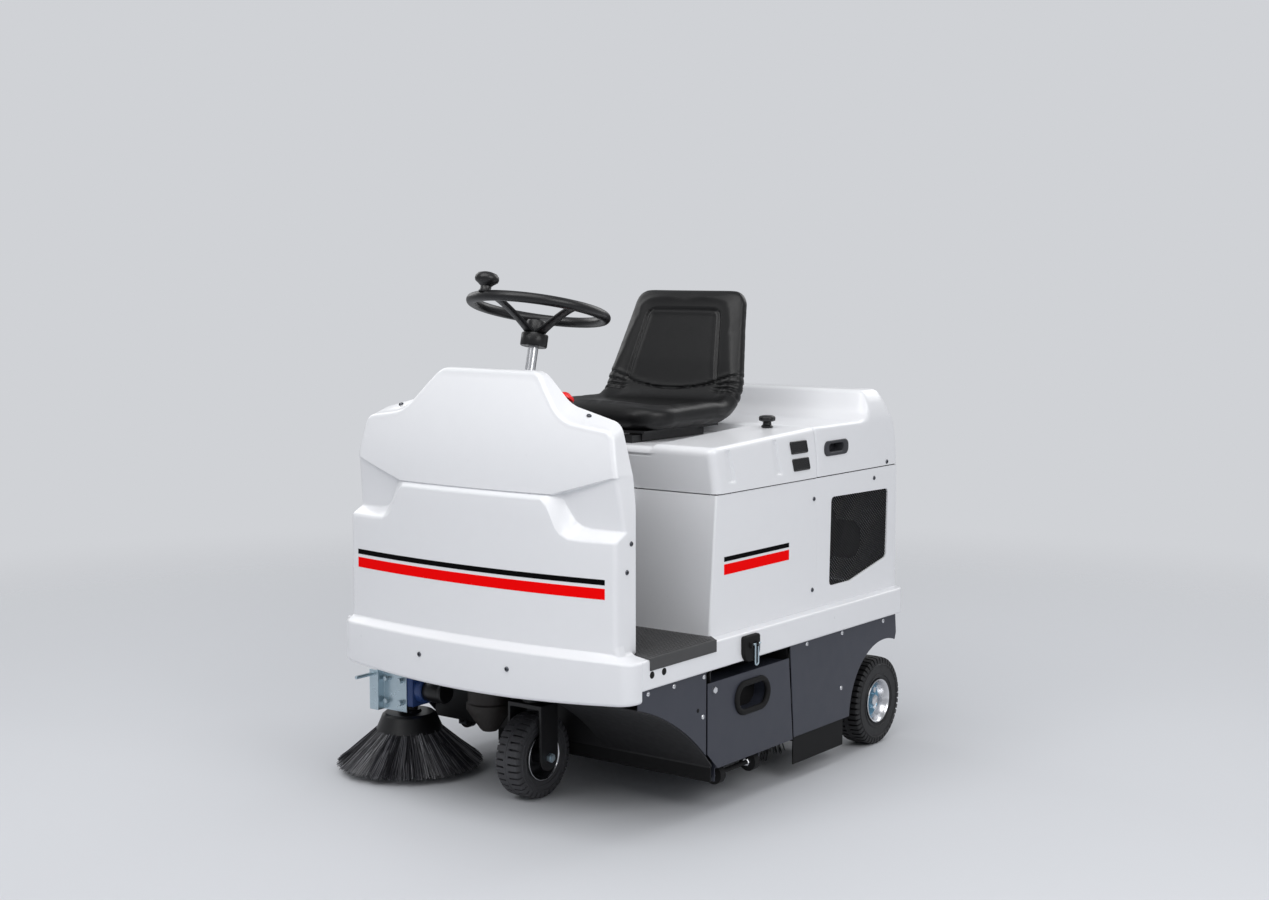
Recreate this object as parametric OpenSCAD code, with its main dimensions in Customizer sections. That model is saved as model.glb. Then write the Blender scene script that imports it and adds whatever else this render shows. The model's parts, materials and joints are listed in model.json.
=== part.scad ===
// Ride-on floor sweeper: front faces -Y, driver's left is +X, floor is Z = 0.

/* [Body] */
// Width over the side sills
body_w = 988; // [960:1:1030]
// Length over the side sills
body_len = 1297; // [1284:1:1329]
// Height of the sill's underside above the floor
sill_z = 380; // [374:1:400]
// Height of the side sill
sill_h = 74; // [66:1:90]
// Width of the side sill beam
sill_t = 40; // [32:1:46]
// Sill length ahead of the fairing's rear edge
sill_lead = 72; // [60:1:84]
// Length of the footwell, fairing to seat box
footwell = 275; // [265:1:300]
// Length of the seat box
box_len = 502; // [490:1:530]
// Width of the seat box and rear body
box_w = 920; // [900:1:924]
// Height of the seat box above the sill
box_h = 358; // [340:1:380]
// Wall of the moulded covers
wall = 5; // [4:0.5:7]
// Seam between neighbouring covers
seam = 3; // [2:0.5:5]
// Floor pan and deck plate thickness
plate_t = 4; // [3:0.5:6]
// Thickness of the rubber floor mat
mat_t = 4; // [3:0.5:6]

/* [Front fairing] */
// Width of the fairing panel
fairing_w = 876; // [850:1:896]
// Depth of the fairing from rear edge to panel centre
fairing_depth = 140; // [130:1:155]
// Distance that the bumper stands ahead of the panel
bumper_reach = 23; // [16:1:30]
// Depth of the bumper below the sill's underside
bumper_drop = 53; // [45:1:60]
// Rise of the bumper's lower edge towards its ends
bumper_rise = 18; // [8:1:24]
// Plan radius of the fairing's bow
bow_r = 2600; // [2200:10:3000]
// Backward lean of the upper fairing at its middle, degrees
fairing_lean = 13.7; // [12:0.1:15]
// Distance of the fairing's rear edge ahead of the footwell
fairing_set = 25; // [18:1:30]
// Height of the side ledges above the sill
ledge_h = 289; // [280:1:300]
// Height of the nose crest above the sill
crest_h = 366; // [355:1:372]
// Height of the shoulders above the sill
shoulder_h = 556; // [545:1:565]
// Height of the console top above the sill
console_h = 675; // [660:1:690]
// Width of the console top
console_w = 318; // [300:1:326]
// Wall of the fairing shell
fairing_t = 6; // [5:0.5:8]

/* [Seat hood and rear cover] */
// Height of the seat hood at its front
hood_h = 117; // [105:1:130]
// Rise of the hood towards the rear
hood_rise = 21; // [14:1:28]
// Width of the seat recess in the hood
recess_w = 530; // [500:1:560]
// Height of the rear ridge above the deck
ridge_h = 82; // [70:1:95]
// Length of a recessed cover handle
grip_l = 124; // [110:1:140]
// Height of a recessed cover handle
grip_h = 36; // [30:1:44]
// Diameter of the hood's lock knob
knob_d = 45; // [38:1:52]
// Diameter of the hinge pins
hinge_pin_d = 8; // [6:0.5:10]

/* [Seat] */
// Width of the seat at the hips
seat_w = 464; // [440:1:490]
// Width of the seat back at its top
seat_top_w = 368; // [340:1:390]
// Length of the cushion
seat_len = 375; // [355:1:395]
// Height of the seat back above the pan
seat_back_h = 360; // [345:1:375]
// Thickness of the padding
pad_t = 62; // [54:1:70]
// Distance between the seat rails
rail_span = 300; // [280:1:320]
// Length of a seat rail
rail_l = 330; // [310:1:345]

/* [Steering] */
// Outer diameter of the steering wheel
steer_d = 376; // [360:1:380]
// Diameter of the steering wheel's rim tube
grip_d = 29; // [26:1:32]
// Height of the steering wheel's centre
steer_z = 1277; // [1265:1:1300]
// Distance of the wheel's centre behind the front axle
steer_set = 32; // [25:1:36]
// Backward tilt of the column, degrees
column_tilt = 12.8; // [12.5:0.1:13.2]
// Diameter of the column shaft
column_d = 27; // [24:1:30]
// Depth of the hub below the rim
hub_drop = 100; // [90:1:110]

/* [Wheels] */
// Diameter of the front tyre
front_tyre_d = 224; // [216:1:230]
// Width of the front tyre
front_tyre_w = 81; // [74:1:86]
// Diameter of the rear tyres
rear_tyre_d = 256; // [246:1:264]
// Width of the rear tyres
rear_tyre_w = 82; // [74:1:86]
// Diameter of all wheel rims
rim_d = 118; // [110:1:124]
// Distance between the rear wheels' centres
rear_track = 850; // [835:1:856]
// Front axle's distance behind the fairing's rear edge
front_axle_set = 114; // [110:1:116]
// Rear axle's distance ahead of the body's end
rear_overhang = 98; // [92:1:110]
// Diameter of the king pin
king_pin_d = 34; // [30:1:38]
// Thickness of the fork's legs
fork_t = 8; // [6:1:10]
// Width of the fork's legs
fork_w = 70; // [60:1:76]
// Diameter of the front axle bolt
axle_bolt_d = 16; // [14:1:20]
// Diameter of the rear stub shafts
stub_d = 25; // [22:1:28]

/* [Sweeping gear] */
// Diameter over the side brush's bristle tips
side_brush_d = 406; // [390:1:420]
// Side brush centre's distance from the middle
side_brush_x = 450; // [440:1:460]
// Height of the side brush's tips above the floor
side_brush_z = 17; // [10:1:22]
// Diameter of the side brush's disc
disc_d = 150; // [140:1:160]
// Diameter of the main brush
main_brush_d = 240; // [230:1:246]
// Length of the main brush
main_brush_l = 670; // [640:1:690]
// Clearance of the main brush above the floor
main_brush_z = 5; // [3:1:10]
// Diameter of the main brush's shaft
brush_shaft_d = 24; // [20:1:28]

/* [Hoppers and skirts] */
// Length of a hopper door along its top
door_len = 383; // [370:1:388]
// Door's start ahead of the seat box
door_lead = 51; // [48:1:58]
// Height of the hoppers' bottoms above the floor
hopper_z = 119; // [112:1:126]
// Gap between sill and door top
door_gap = 35; // [30:1:38]
// Length of the door's oval opening
oval_l = 145; // [130:1:155]
// Height of the door's oval opening
oval_h = 72; // [64:1:80]
// Thickness of the sheet panels
sheet_t = 3; // [2:0.5:4]
// Inset of the grey panels behind the sill's face
skirt_inset = 14; // [10:1:16]
// Diameter of the hopper rollers
roller_d = 50; // [44:1:56]
// Travel reserved between a bin and its neighbours
bin_clear = 12; // [10:1:14]

/* [Hidden] */
$fn = 48;

// Radial clearance of shafts and pins that turn
run_fit = 0.05;
// Clearance between other moving neighbours
move_gap = 0.3;
// Overlap of cutting shapes past the faces that they cut
cut = 1;

// Stations along the machine
fairing_y = -515;
box_y = fairing_y + footwell;
split_y = box_y + box_len;
sill_y = fairing_y - sill_lead;
rear_y = sill_y + body_len;
dash_y = fairing_y - fairing_set;
panel_y = fairing_y - fairing_depth;
bumper_y = panel_y - bumper_reach;
front_axle_y = fairing_y + front_axle_set;
rear_axle_y = rear_y - rear_overhang;
steer_y = front_axle_y + steer_set;

// Levels and half widths
sill_top = sill_z + sill_h;
box_top = sill_top + box_h;
cover_z = box_top + seam;
hood_top = cover_z + hood_h;
deck_z = hood_top + hood_rise;
ridge_z = deck_z + ridge_h;
half_w = body_w / 2;
inner_x = half_w - sill_t;
box_x = box_w / 2;
fair_x = fairing_w / 2;
skirt_x = half_w - skirt_inset;
deck_x = skirt_x - sheet_t;
front_r = front_tyre_d / 2;
rear_r = rear_tyre_d / 2;
rear_x = rear_track / 2;

// Hopper bay and skirts
door_y0 = box_y - door_lead;
door_y1 = door_y0 + door_len;
door_slant = 22;
door_top = sill_z - door_gap;
panel_gap = 6;
bulkhead_y = door_y0 + 23;
bin_y0 = bulkhead_y + plate_t + bin_clear + 2;
bin_y1 = door_y1 - bin_clear;
bin_x = 15;
flange_z = sill_z - plate_t - 41;
arc_r = 693;
arc_front = [sill_y + 2, sill_z - 46];
arc_rear = [door_y0 - panel_gap, sill_z - 218];
arc_mid = arc_centre(arc_front, arc_rear, arc_r);
bulkhead_foot = arc_mid.y + sqrt(arc_r * arc_r - pow(bulkhead_y - arc_mid.x, 2)) - 3 * sheet_t;
arch_r = 197;
arch_z = rear_r - 13;

// Main brush place and its arms' pivot
brush_y = door_y1 + door_slant + panel_gap + main_brush_d / 2 + 18;
brush_z = main_brush_d / 2 + main_brush_z;
pivot_y = brush_y + main_brush_d / 2 + 22;
pivot_z = sill_z - plate_t - 76;
arm_x = main_brush_l / 2 + 12;
arm_t = 8;
chamber_y = pivot_y + 24;
drive_y = pivot_y - 72;

// Side brush place and its arm's pivot
side_y = front_axle_y + 6;
gear_z = side_brush_z + 168;
lift_x = side_brush_x - 188;
lift_z = sill_z - 50;
lift_y = side_y - 40;

// Reach of the whole machine, which sets the frame's origin
latch_reach = 20;
reach_left = half_w + latch_reach;
reach_right = side_brush_x + side_brush_d / 2;
frame_x = (reach_left - reach_right) / 2;
frame_y = (bumper_y + rear_axle_y + rear_r) / 2;

// Unit vector of v
function unit(v) = v / norm(v);
// Setback of the bowed front at distance x from the middle
function bow(x) = bow_r - sqrt(bow_r * bow_r - x * x);
// Column's Y at height z
function column_y(z) = steer_y - (steer_z - z) * tan(column_tilt);
// Points of an arc about c from angle a to angle b
function arc(c, r, a, b, n = 6) = [for (i = [0 : n]) c + r * [cos(a + (b - a) * i / n),
    sin(a + (b - a) * i / n)]];
// Turn from angle a to angle b the short way round
function turn(a, b) = (b - a + 540) % 360 - 180;
// Outline p with the corner radii given as third values
function rounded(p, n = 5) = [for (i = [0 : len(p) - 1])
    let (b = [p[i].x, p[i].y], r = p[i][2],
        a = p[(i + len(p) - 1) % len(p)], c = p[(i + 1) % len(p)],
        u = unit([a.x, a.y] - b), v = unit([c.x, c.y] - b), half = acos(u * v) / 2,
        o = b + unit(u + v) * r / sin(half), s = b + u * r / tan(half) - o, e = b + v * r / tan(half) - o,
        s_a = atan2(s.y, s.x))
    each r == 0 ? [b] : arc(o, r, s_a, s_a + turn(s_a, atan2(e.y, e.x)), n)];
// Centre of the arc of radius r that bulges up over p and q
function arc_centre(p, q, r) =
    let (m = (p + q) / 2, d = q - p, h = sqrt(r * r - d * d / 4), side = unit([d.y, -d.x]))
    side.y < 0 ? m + side * h : m - side * h;

// Moves the machine so that its floor centre is the origin
module place() {
    translate([-frame_x, -frame_y, 0]) children();
}
// Extrudes a YZ outline from x0 to x1
module along_x(x0, x1) {
    translate([x0, 0, 0]) rotate([90, 0, 90]) linear_extrude(x1 - x0) children();
}
// Extrudes an XZ outline from y0 to y1
module along_y(y0, y1) {
    translate([0, y1, 0]) rotate([90, 0, 0]) linear_extrude(y1 - y0) children();
}
// Extrudes an XY outline from z0 to z1
module along_z(z0, z1) {
    translate([0, 0, z0]) linear_extrude(z1 - z0) children();
}
// Box between two corners
module block(a, b) {
    translate(a) cube(b - a);
}
// Round bar along X
module bar_x(x0, x1, y, z, r) {
    translate([x0, y, z]) rotate([0, 90, 0]) cylinder(h = x1 - x0, r = r);
}
// Round bar along Y
module bar_y(y0, y1, x, z, r) {
    translate([x, y1, z]) rotate([90, 0, 0]) cylinder(h = y1 - y0, r = r);
}
// Round bar along Z
module bar_z(z0, z1, x, y, r) {
    translate([x, y, z0]) cylinder(h = z1 - z0, r = r);
}
// Both sides of the machine
module both_sides() {
    children();
    mirror([1, 0, 0]) children();
}
// Flat oval of length l and height h about its centre
module oval(l, h) {
    square([l - h, h], center = true);
    for (s = [-1, 1]) translate([s * (l - h) / 2, 0]) circle(d = h);
}
// Frame of the tilted column, with Z along it and its zero at the steering wheel's centre
module on_column() {
    translate([0, steer_y, steer_z]) rotate([-column_tilt, 0, 0]) children();
}

// Side sills and rear beam as one U-shaped beam
corner_r = 35;
module side_sills() {
    color("white") place() along_z(sill_z, sill_top) difference() {
        polygon(rounded([[-half_w, sill_y, 0], [half_w, sill_y, 0], [half_w, rear_y, corner_r],
            [-half_w, rear_y, corner_r]]));
        translate([-inner_x, sill_y - cut]) square([2 * inner_x, rear_y - sill_t - sill_y + cut]);
    }
}

// Welded frame: deck, floor pan, rails, king pin housing, brackets and rear runner
rail_x = 220;
rail_t = 40;
housing_r = king_pin_d / 2 + 17;
bush_r = king_pin_d / 2 + 7;
housing_drop = 86;
housing_z = sill_z - housing_drop;
axle_tube_r = stub_d / 2 + 10;
bracket_x = 250;
runner_t = 10;
duct_x = 220;
duct_l = 230;
duct_y = chamber_y - duct_l - 20;
module main_frame() {
    color("dimgray") place() difference() {
        union() {
            block([-deck_x, sill_y, sill_z - plate_t], [deck_x, rear_y - 20, sill_z]);
            block([-inner_x, sill_y, sill_top - plate_t], [inner_x, rear_y - sill_t, sill_top]);
            for (s = [-1, 1])
                translate([s * (rail_x + rail_t / 2) - rail_t / 2, sill_y, sill_z])
                    cube([rail_t, rear_y - sill_t - sill_y, sill_h - plate_t]);
            bar_z(housing_z, sill_z - plate_t / 2, 0, front_axle_y, housing_r);
            both_sides() axle_bracket();
            both_sides() pivot_bracket();
            block([-main_brush_l / 2, chamber_y, 110], [main_brush_l / 2, chamber_y + plate_t, sill_z]);
            rear_runner();
        }
        bar_z(housing_z - cut, sill_z + cut, 0, front_axle_y, bush_r + run_fit);
        on_column() bar_z(-1200, 0, 0, 0, column_d / 2 + 6);
        block([-duct_x, duct_y, sill_z - plate_t - cut], [duct_x, duct_y + duct_l, sill_top + cut]);
        both_sides() bar_x(bracket_x - cut, bracket_x + 10 + cut, rear_axle_y, rear_r,
            axle_tube_r + run_fit);
        both_sides() bar_x(arm_x, arm_x + 60, pivot_y, pivot_z, brush_shaft_d / 2 + run_fit);
    }
}
module axle_bracket() {
    block([bracket_x, rear_axle_y - 40, rear_r - 34], [bracket_x + 10, rear_axle_y + 40, sill_z]);
}
module pivot_bracket() {
    block([arm_x + arm_t + 4, pivot_y - 26, pivot_z - 26], [arm_x + arm_t + 12, chamber_y + plate_t,
        sill_z]);
}
module rear_runner() {
    block([-deck_x + 7, bin_y1 + 3, flange_z - runner_t], [deck_x - 7, bin_y1 + 17, flange_z]);
    block([-deck_x + 7, bin_y1 + 17, flange_z - runner_t], [deck_x - 7, bin_y1 + 17 + sheet_t, sill_z]);
}

// Outline of the fairing from the front, inset by d, from height z0 up
function fairing_outline(d, z0) = let (sh = sill_top + shoulder_h - d, ct = sill_top + console_h - d,
        half = console_w / 2)
    rounded([[-fair_x + d, z0, 0], [fair_x - d, z0, 0], [fair_x - d - 2, sill_top + 300, 0],
        [fair_x - d - 30, sh - 2, 55], [half + 88 - d, sh + 30, 60], [half - d + 4, ct, 22],
        [-half + d - 4, ct, 22], [-half - 88 + d, sh + 30, 60], [-fair_x + d + 30, sh - 2, 55],
        [-fair_x + d + 2, sill_top + 300, 0]]);
// Bowed plan of half width x from front line y to the fairing's rear edge
function bowed(x, y, back) = concat([[x, back], [-x, back]],
    [for (i = [-8 : 8]) [x * i / 8, y + bow(x * i / 8)]]);
bow_x = 480;
// Solid fairing, inset by d from the outer surface
bumper_r = 40;
crease_z = sill_top + 382;
crease_y = panel_y + 15;
upper_h = (sill_top + console_h - crease_z) / 3;
function upper_lean(i) = fairing_lean * (2 * i + 1) / 3;
function upper_y(i) = i == 0 ? crease_y : upper_y(i - 1) + upper_h * tan(upper_lean(i - 1));
// Everything behind facet i of the upper panel
module upper_back(i, d) {
    translate([0, upper_y(i) + d, crease_z + i * upper_h]) rotate([-upper_lean(i), 0, 0])
        translate([0, -crease_y, -500]) linear_extrude(1000) polygon(bowed(bow_x, crease_y, 0));
}
module fairing_solid(d) {
    rear = dash_y + (d > 0 ? cut : 0);
    // upper panel, leaning back more and more above the crease
    intersection() {
        along_y(panel_y - 60, rear) polygon(fairing_outline(d, crease_z - 30));
        along_y(panel_y - 60, rear) polygon([[-277, crease_z + d], [277, crease_z + d],
            [fair_x, crease_z + 56 + d], [fair_x, 1400], [-fair_x, 1400], [-fair_x, crease_z + 56 + d]]);
        upper_back(0, d);
        upper_back(1, d);
        upper_back(2, d);
    }
    // pocket band behind the crease
    intersection() {
        along_y(panel_y, rear) polygon(fairing_outline(d, sill_top + ledge_h - 40));
        along_z(sill_top + ledge_h - 40, crease_z + 40) polygon(bowed(bow_x, panel_y + 40 + d, rear));
    }
    // lower panel with its raised nose
    intersection() {
        along_z(sill_top - 30, sill_top + crest_h - d) polygon(bowed(bow_x, panel_y + d, rear));
        along_y(panel_y - 60, rear) polygon([[-fair_x + d, sill_top - 30], [fair_x - d, sill_top - 30],
            [fair_x - d, sill_top + ledge_h - d], [320 - d, sill_top + ledge_h + 14 - d],
            [255 - d, sill_top + crest_h - d], [-255 + d, sill_top + crest_h - d],
            [-320 + d, sill_top + ledge_h + 14 - d], [-fair_x + d, sill_top + ledge_h - d]]);
    }
    // bumper, with its lower edge dipping in the middle
    intersection() {
        along_z(sill_z - bumper_drop - cut, sill_top - d) polygon(rounded(concat(
            [[half_w - d, sill_y + (d > 0 ? cut : 0), 0], [-half_w + d, sill_y + (d > 0 ? cut : 0), 0],
                [-half_w + d, bumper_y + bow(half_w) + d, bumper_r]],
            [for (i = [-7 : 7]) [430 * i / 7, bumper_y + bow(430 * i / 7) + d, 0]],
            [[half_w - d, bumper_y + bow(half_w) + d, bumper_r]])));
        along_y(bumper_y - cut, rear) polygon(concat([[half_w, sill_top], [-half_w, sill_top]],
            [for (i = [-6 : 6]) [half_w * i / 6, sill_z - bumper_drop + bumper_rise * i * i / 36
                - (d > 0 ? 2 * cut : 0)]]));
    }
}
module front_fairing() {
    color("white") place() difference() {
        fairing_solid(0);
        fairing_solid(fairing_t);
        block([-half_w, sill_y, 0], [half_w, dash_y + 2 * cut, sill_top]);
    }
}

// Dash panel behind the fairing, with the instrument pod and the pedal lugs
dash_t = 6;
pod_x = 138;
pod_y = dash_y + dash_t;
pod_top = [fairing_y + 18, sill_top + console_h - 34];
pod_edge = [pod_top.x + 126, pod_top.y - 70];
pod_slope = atan2(pod_top.y - pod_edge.y, pod_edge.x - pod_top.x);
button_x = 100;
button_at = 0.82;
key_x = -85;
button_d = 40;
button_stem_d = 16;
key_d = 12;
pedal_x = 165;
pedal_w = 14;
pedal_pin_d = 12;
pedal_y = fairing_y + 32;
pedal_z = sill_top + 206;
// Frame on the pod's sloping face at share t of its length
module on_pod(x, t) {
    translate([x, pod_top.x + (pod_edge.x - pod_top.x) * t, pod_top.y + (pod_edge.y - pod_top.y) * t])
        rotate([-pod_slope, 0, 0]) children();
}
function pod_outline(d) = [[pod_y - (d > 0 ? cut : 0), pod_top.y - 185 + d], [pod_edge.x - 40,
    pod_edge.y - 75 + d],
    [pod_edge.x - d, pod_edge.y - 45 + d], [pod_edge.x - d, pod_edge.y - d], [pod_top.x, pod_top.y - d],
    [pod_y - (d > 0 ? cut : 0), pod_top.y - d]];
module dash_panel() {
    color("gray") place() difference() {
        union() {
            along_y(dash_y, pod_y) polygon(fairing_outline(fairing_t + move_gap, sill_top));
            difference() {
                along_x(-pod_x, pod_x) polygon(pod_outline(0));
                along_x(-pod_x + wall, pod_x - wall) polygon(pod_outline(wall));
            }
            for (p = [-pedal_x, pedal_x], s = [-1, 1]) pedal_lug(p + s * (pedal_w / 2 + 4));
        }
        on_column() bar_z(-900, 0, 0, 0, column_d / 2 + 3);
        on_pod(button_x, button_at) bar_z(-30, 10, 0, 0, button_stem_d / 2 + run_fit);
        on_pod(key_x, button_at) bar_z(-30, 10, 0, 0, key_d / 2 + run_fit);
    }
}
module pedal_lug(x) {
    difference() {
        block([x - 2.5, pod_y - cut, pedal_z - 16], [x + 2.5, pedal_y + 14, pedal_z + 16]);
        bar_x(x - 4, x + 4, pedal_y, pedal_z, pedal_pin_d / 2 + run_fit);
    }
}

// Mushroom-headed emergency button on the pod
module emergency_button() {
    color("red") place() on_pod(button_x, button_at) rotate_extrude()
        polygon([[0, -24], [button_stem_d / 2, -24], [button_stem_d / 2, 9], [button_d / 2, 13],
            [button_d / 2, 20], [button_d / 2 - 11, 31], [0, 33]]);
}
// Ignition key with its barrel
module key() {
    color("silver") place() on_pod(key_x, button_at) {
        bar_z(-24, 4, 0, 0, key_d / 2);
        block([-2, -11, 4], [2, 11, 30]);
    }
}

// Hanging pedal at distance x from the middle
module pedal(x) {
    bar_x(x - pedal_w / 2 - 7, x + pedal_w / 2 + 7, pedal_y, pedal_z, pedal_pin_d / 2);
    bar_x(x - pedal_w / 2, x + pedal_w / 2, pedal_y, pedal_z, 14);
    along_x(x - pedal_w / 2, x + pedal_w / 2) polygon([[pedal_y - 10, pedal_z], [pedal_y + 10, pedal_z],
        [pedal_y + 62, pedal_z - 122], [pedal_y + 44, pedal_z - 134]]);
    translate([x, pedal_y + 48, pedal_z - 124]) rotate([28, 0, 0]) translate([-36, -3, -48]) cube([72, 8,
        76]);
}
module accelerator_pedal() {
    color("black") place() pedal(-pedal_x);
}
module brake_pedal() {
    color("black") place() pedal(pedal_x);
}

// Rubber floor mat and the black step edges over the sills
trim_t = 3;
trim_drop = 27;
trim_y0 = fairing_y - 42;
module floor_mat() {
    color("black") place() {
        along_z(sill_top, sill_top + mat_t) polygon([for (s = [1, -1]) each
            let (p = [[inner_x, box_y - 2], [half_w, box_y - 36], [half_w, trim_y0], [fair_x + 2, trim_y0],
                [fair_x + 2, pod_y + 1]]) [for (i = [0 : 4]) s > 0 ? p[i] : [-p[4 - i].x, p[4 - i].y]]]);
        both_sides() block([half_w, trim_y0, sill_top - trim_drop], [half_w + trim_t, box_y - 36,
            sill_top + mat_t]);
    }
}

// White seat box, with the hood hinge's pins on its front wall
hinge_r = hinge_pin_d / 2 + 3;
hood_over = 2;
hood_y0 = box_y - 4;
hood_hinge_y = hood_y0 - hinge_r;
hood_hinge_x = [-150, 150];
hinge_z = box_top + seam / 2;
hinge_l = 26;
module seat_box() {
    color("white") place() {
        along_z(sill_top, box_top) difference() {
            polygon(rounded([[-box_x, box_y, 20], [box_x, box_y, 20], [box_x, split_y, 0], [-box_x,
                split_y, 0]]));
            polygon(rounded([[-box_x + wall, box_y + wall, 15], [box_x - wall, box_y + wall, 15],
                [box_x - wall, split_y + cut, 0], [-box_x + wall, split_y + cut, 0]]));
        }
        for (x = hood_hinge_x) {
            bar_x(x - hinge_l * 1.5, x + hinge_l * 1.5, hood_hinge_y, hinge_z, hinge_pin_d / 2);
            for (s = [-1, 1]) translate([x + s * hinge_l, 0, 0]) {
                bar_x(-hinge_l / 2, hinge_l / 2, hood_hinge_y, hinge_z, hinge_r);
                block([-hinge_l / 2, hood_hinge_y - hinge_r, hinge_z - 34],
                    [hinge_l / 2, box_y, hinge_z - hinge_r + 1]);
            }
        }
    }
}

// White rear body with grille openings and the rear cover's hinge pins
cover_hinge_y = rear_y + hinge_r + 1;
cover_hinge_x = [-0.6 * box_x, 0.6 * box_x];
grille_y = split_y + 68;
// Outline of a grille opening, grown by d
function grille_outline(d) = rounded([[grille_y + 8 - d, box_top - 59 + d, 14], [grille_y - d,
    sill_top + 51 - d, 14],
    [grille_y + 115, sill_top + 51 - d, 14], [rear_y - 59 + d, sill_top + 94 - d, 14],
    [rear_y - 52 + d, box_top - 65 + d, 14]]);
module rear_body() {
    color("white") place() {
        difference() {
            along_z(sill_top, box_top) difference() {
                polygon(rounded([[-box_x, split_y, 0], [box_x, split_y, 0], [box_x, rear_y, 30],
                    [-box_x, rear_y, 30]]));
                polygon(rounded([[-box_x + wall, split_y - cut, 0], [box_x - wall, split_y - cut, 0],
                    [box_x - wall, rear_y - wall, 25], [-box_x + wall, rear_y - wall, 25]]));
            }
            along_x(-box_x - cut, box_x + cut) polygon(grille_outline(0));
        }
        for (x = cover_hinge_x) {
            bar_x(x - hinge_l * 1.5, x + hinge_l * 1.5, cover_hinge_y, hinge_z, hinge_pin_d / 2);
            for (s = [-1, 1]) translate([x + s * hinge_l, 0, 0]) {
                bar_x(-hinge_l / 2, hinge_l / 2, cover_hinge_y, hinge_z, hinge_r);
                block([-hinge_l / 2, rear_y, hinge_z - 34],
                    [hinge_l / 2, cover_hinge_y + hinge_r, hinge_z - hinge_r + 1]);
            }
        }
    }
}
module grilles() {
    color("black") place() both_sides()
        along_x(box_x - wall - 2, box_x - wall) polygon(grille_outline(10));
}

// Grey skirts; the right front is left open for the side brush
module skirt_arc(d) {
    translate(arc_mid) circle(r = arc_r + d, $fn = 180);
}
module front_skirt() {
    color("slategray") place() along_x(deck_x, skirt_x) difference() {
        polygon([[arc_front.x, sill_z], arc_front, [arc_rear.x, arc_rear.y - 60], [arc_rear.x, sill_z]]);
        skirt_arc(0);
    }
}
module rear_skirts() {
    color("slategray") place() both_sides() along_x(deck_x, skirt_x) difference() {
        polygon([[door_y1 + panel_gap, sill_z], [door_y1 + door_slant + panel_gap, hopper_z + 4],
            [rear_axle_y, hopper_z + 4], [rear_y - 28, sill_z - 58], [rear_y - 34, sill_z]]);
        translate([rear_axle_y, arch_z]) circle(r = arch_r, $fn = 96);
    }
}

// Bulkhead ahead of the hoppers, its runner ledge and the curved tray on the left
tray_x = 130;
module front_bulkhead() {
    color("black") place() {
        block([-deck_x + 7, bulkhead_y, bulkhead_foot], [deck_x - 7, bulkhead_y + plate_t,
            sill_z - plate_t]);
        block([-deck_x + 7, bulkhead_y + plate_t, flange_z - runner_t],
            [deck_x - 7, bulkhead_y + plate_t + bin_clear, flange_z]);
        along_x(tray_x, deck_x) intersection() {
            difference() {
                skirt_arc(0);
                skirt_arc(-sheet_t);
            }
            polygon([[arc_front.x, 0], [bulkhead_y, 0], [bulkhead_y, sill_z - 30], [arc_front.x,
                sill_z - 30]]);
        }
    }
}
flap_t = 4;
module rubber_flaps() {
    color("black") place() {
        block([side_brush_d / 2 + 8 - side_brush_x, bulkhead_y + plate_t, 85], [deck_x - 7,
            bulkhead_y + plate_t + flap_t, 210]);
        both_sides() block([deck_x - flap_t, door_y1 + door_slant + 8, 48], [deck_x, chamber_y - 40, 200]);
        block([-main_brush_l / 2, chamber_y - flap_t, 20], [main_brush_l / 2, chamber_y, 150]);
    }
}

// Four batteries on the floor pan
battery = [180, 260, 275];
module battery_block() {
    cube(battery);
    for (y = [50, battery.y - 50]) bar_z(battery.z, battery.z + 18, 90, y, 9);
}
module batteries() {
    color("black") place() for (i = [0 : 3])
        translate([(i - 2) * (battery.x + 4) + 2, box_y + 25, sill_top]) battery_block();
}

// Panel filter over the brush chamber's duct
module filter_panel() {
    color("tan") place() block([-duct_x - 20, duct_y - 12, sill_top], [duct_x + 20, duct_y + duct_l + 12,
        sill_top + 110]);
}

// Suction fan behind the left grille
fan_y = rear_axle_y - 60;
fan_z = sill_top + 150;
fan_x = 200;
fan_w = 90;
fan_r = 110;
fan_shaft_d = 16;
module fan_housing() {
    color("darkgray") place() difference() {
        union() {
            bar_x(fan_x, fan_x + fan_w, fan_y, fan_z, fan_r);
            bar_x(fan_x + fan_w, fan_x + fan_w + 110, fan_y, fan_z, 55);
            block([fan_x, fan_y - 60, sill_top], [fan_x + fan_w, fan_y + 60, fan_z - 60]);
        }
        bar_x(fan_x + wall, fan_x + fan_w - wall, fan_y, fan_z, fan_r - wall);
        bar_x(fan_x - cut, fan_x + fan_w / 2, fan_y, fan_z, 50);
        bar_x(fan_x + fan_w - 2 * wall, fan_x + fan_w + 60, fan_y, fan_z, fan_shaft_d / 2 + run_fit);
    }
}
module fan_impeller() {
    color("silver") place() {
        bar_x(fan_x + 20, fan_x + fan_w + 58, fan_y, fan_z, fan_shaft_d / 2);
        bar_x(fan_x + fan_w - wall - 12, fan_x + fan_w - wall - 6, fan_y, fan_z, fan_r - wall - 8);
        for (a = [0 : 45 : 315]) translate([0, fan_y, fan_z]) rotate([a, 0, 0])
            block([fan_x + 30, 62, -2], [fan_x + fan_w - wall - 7, fan_r - wall - 10, 2]);
    }
}

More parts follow.
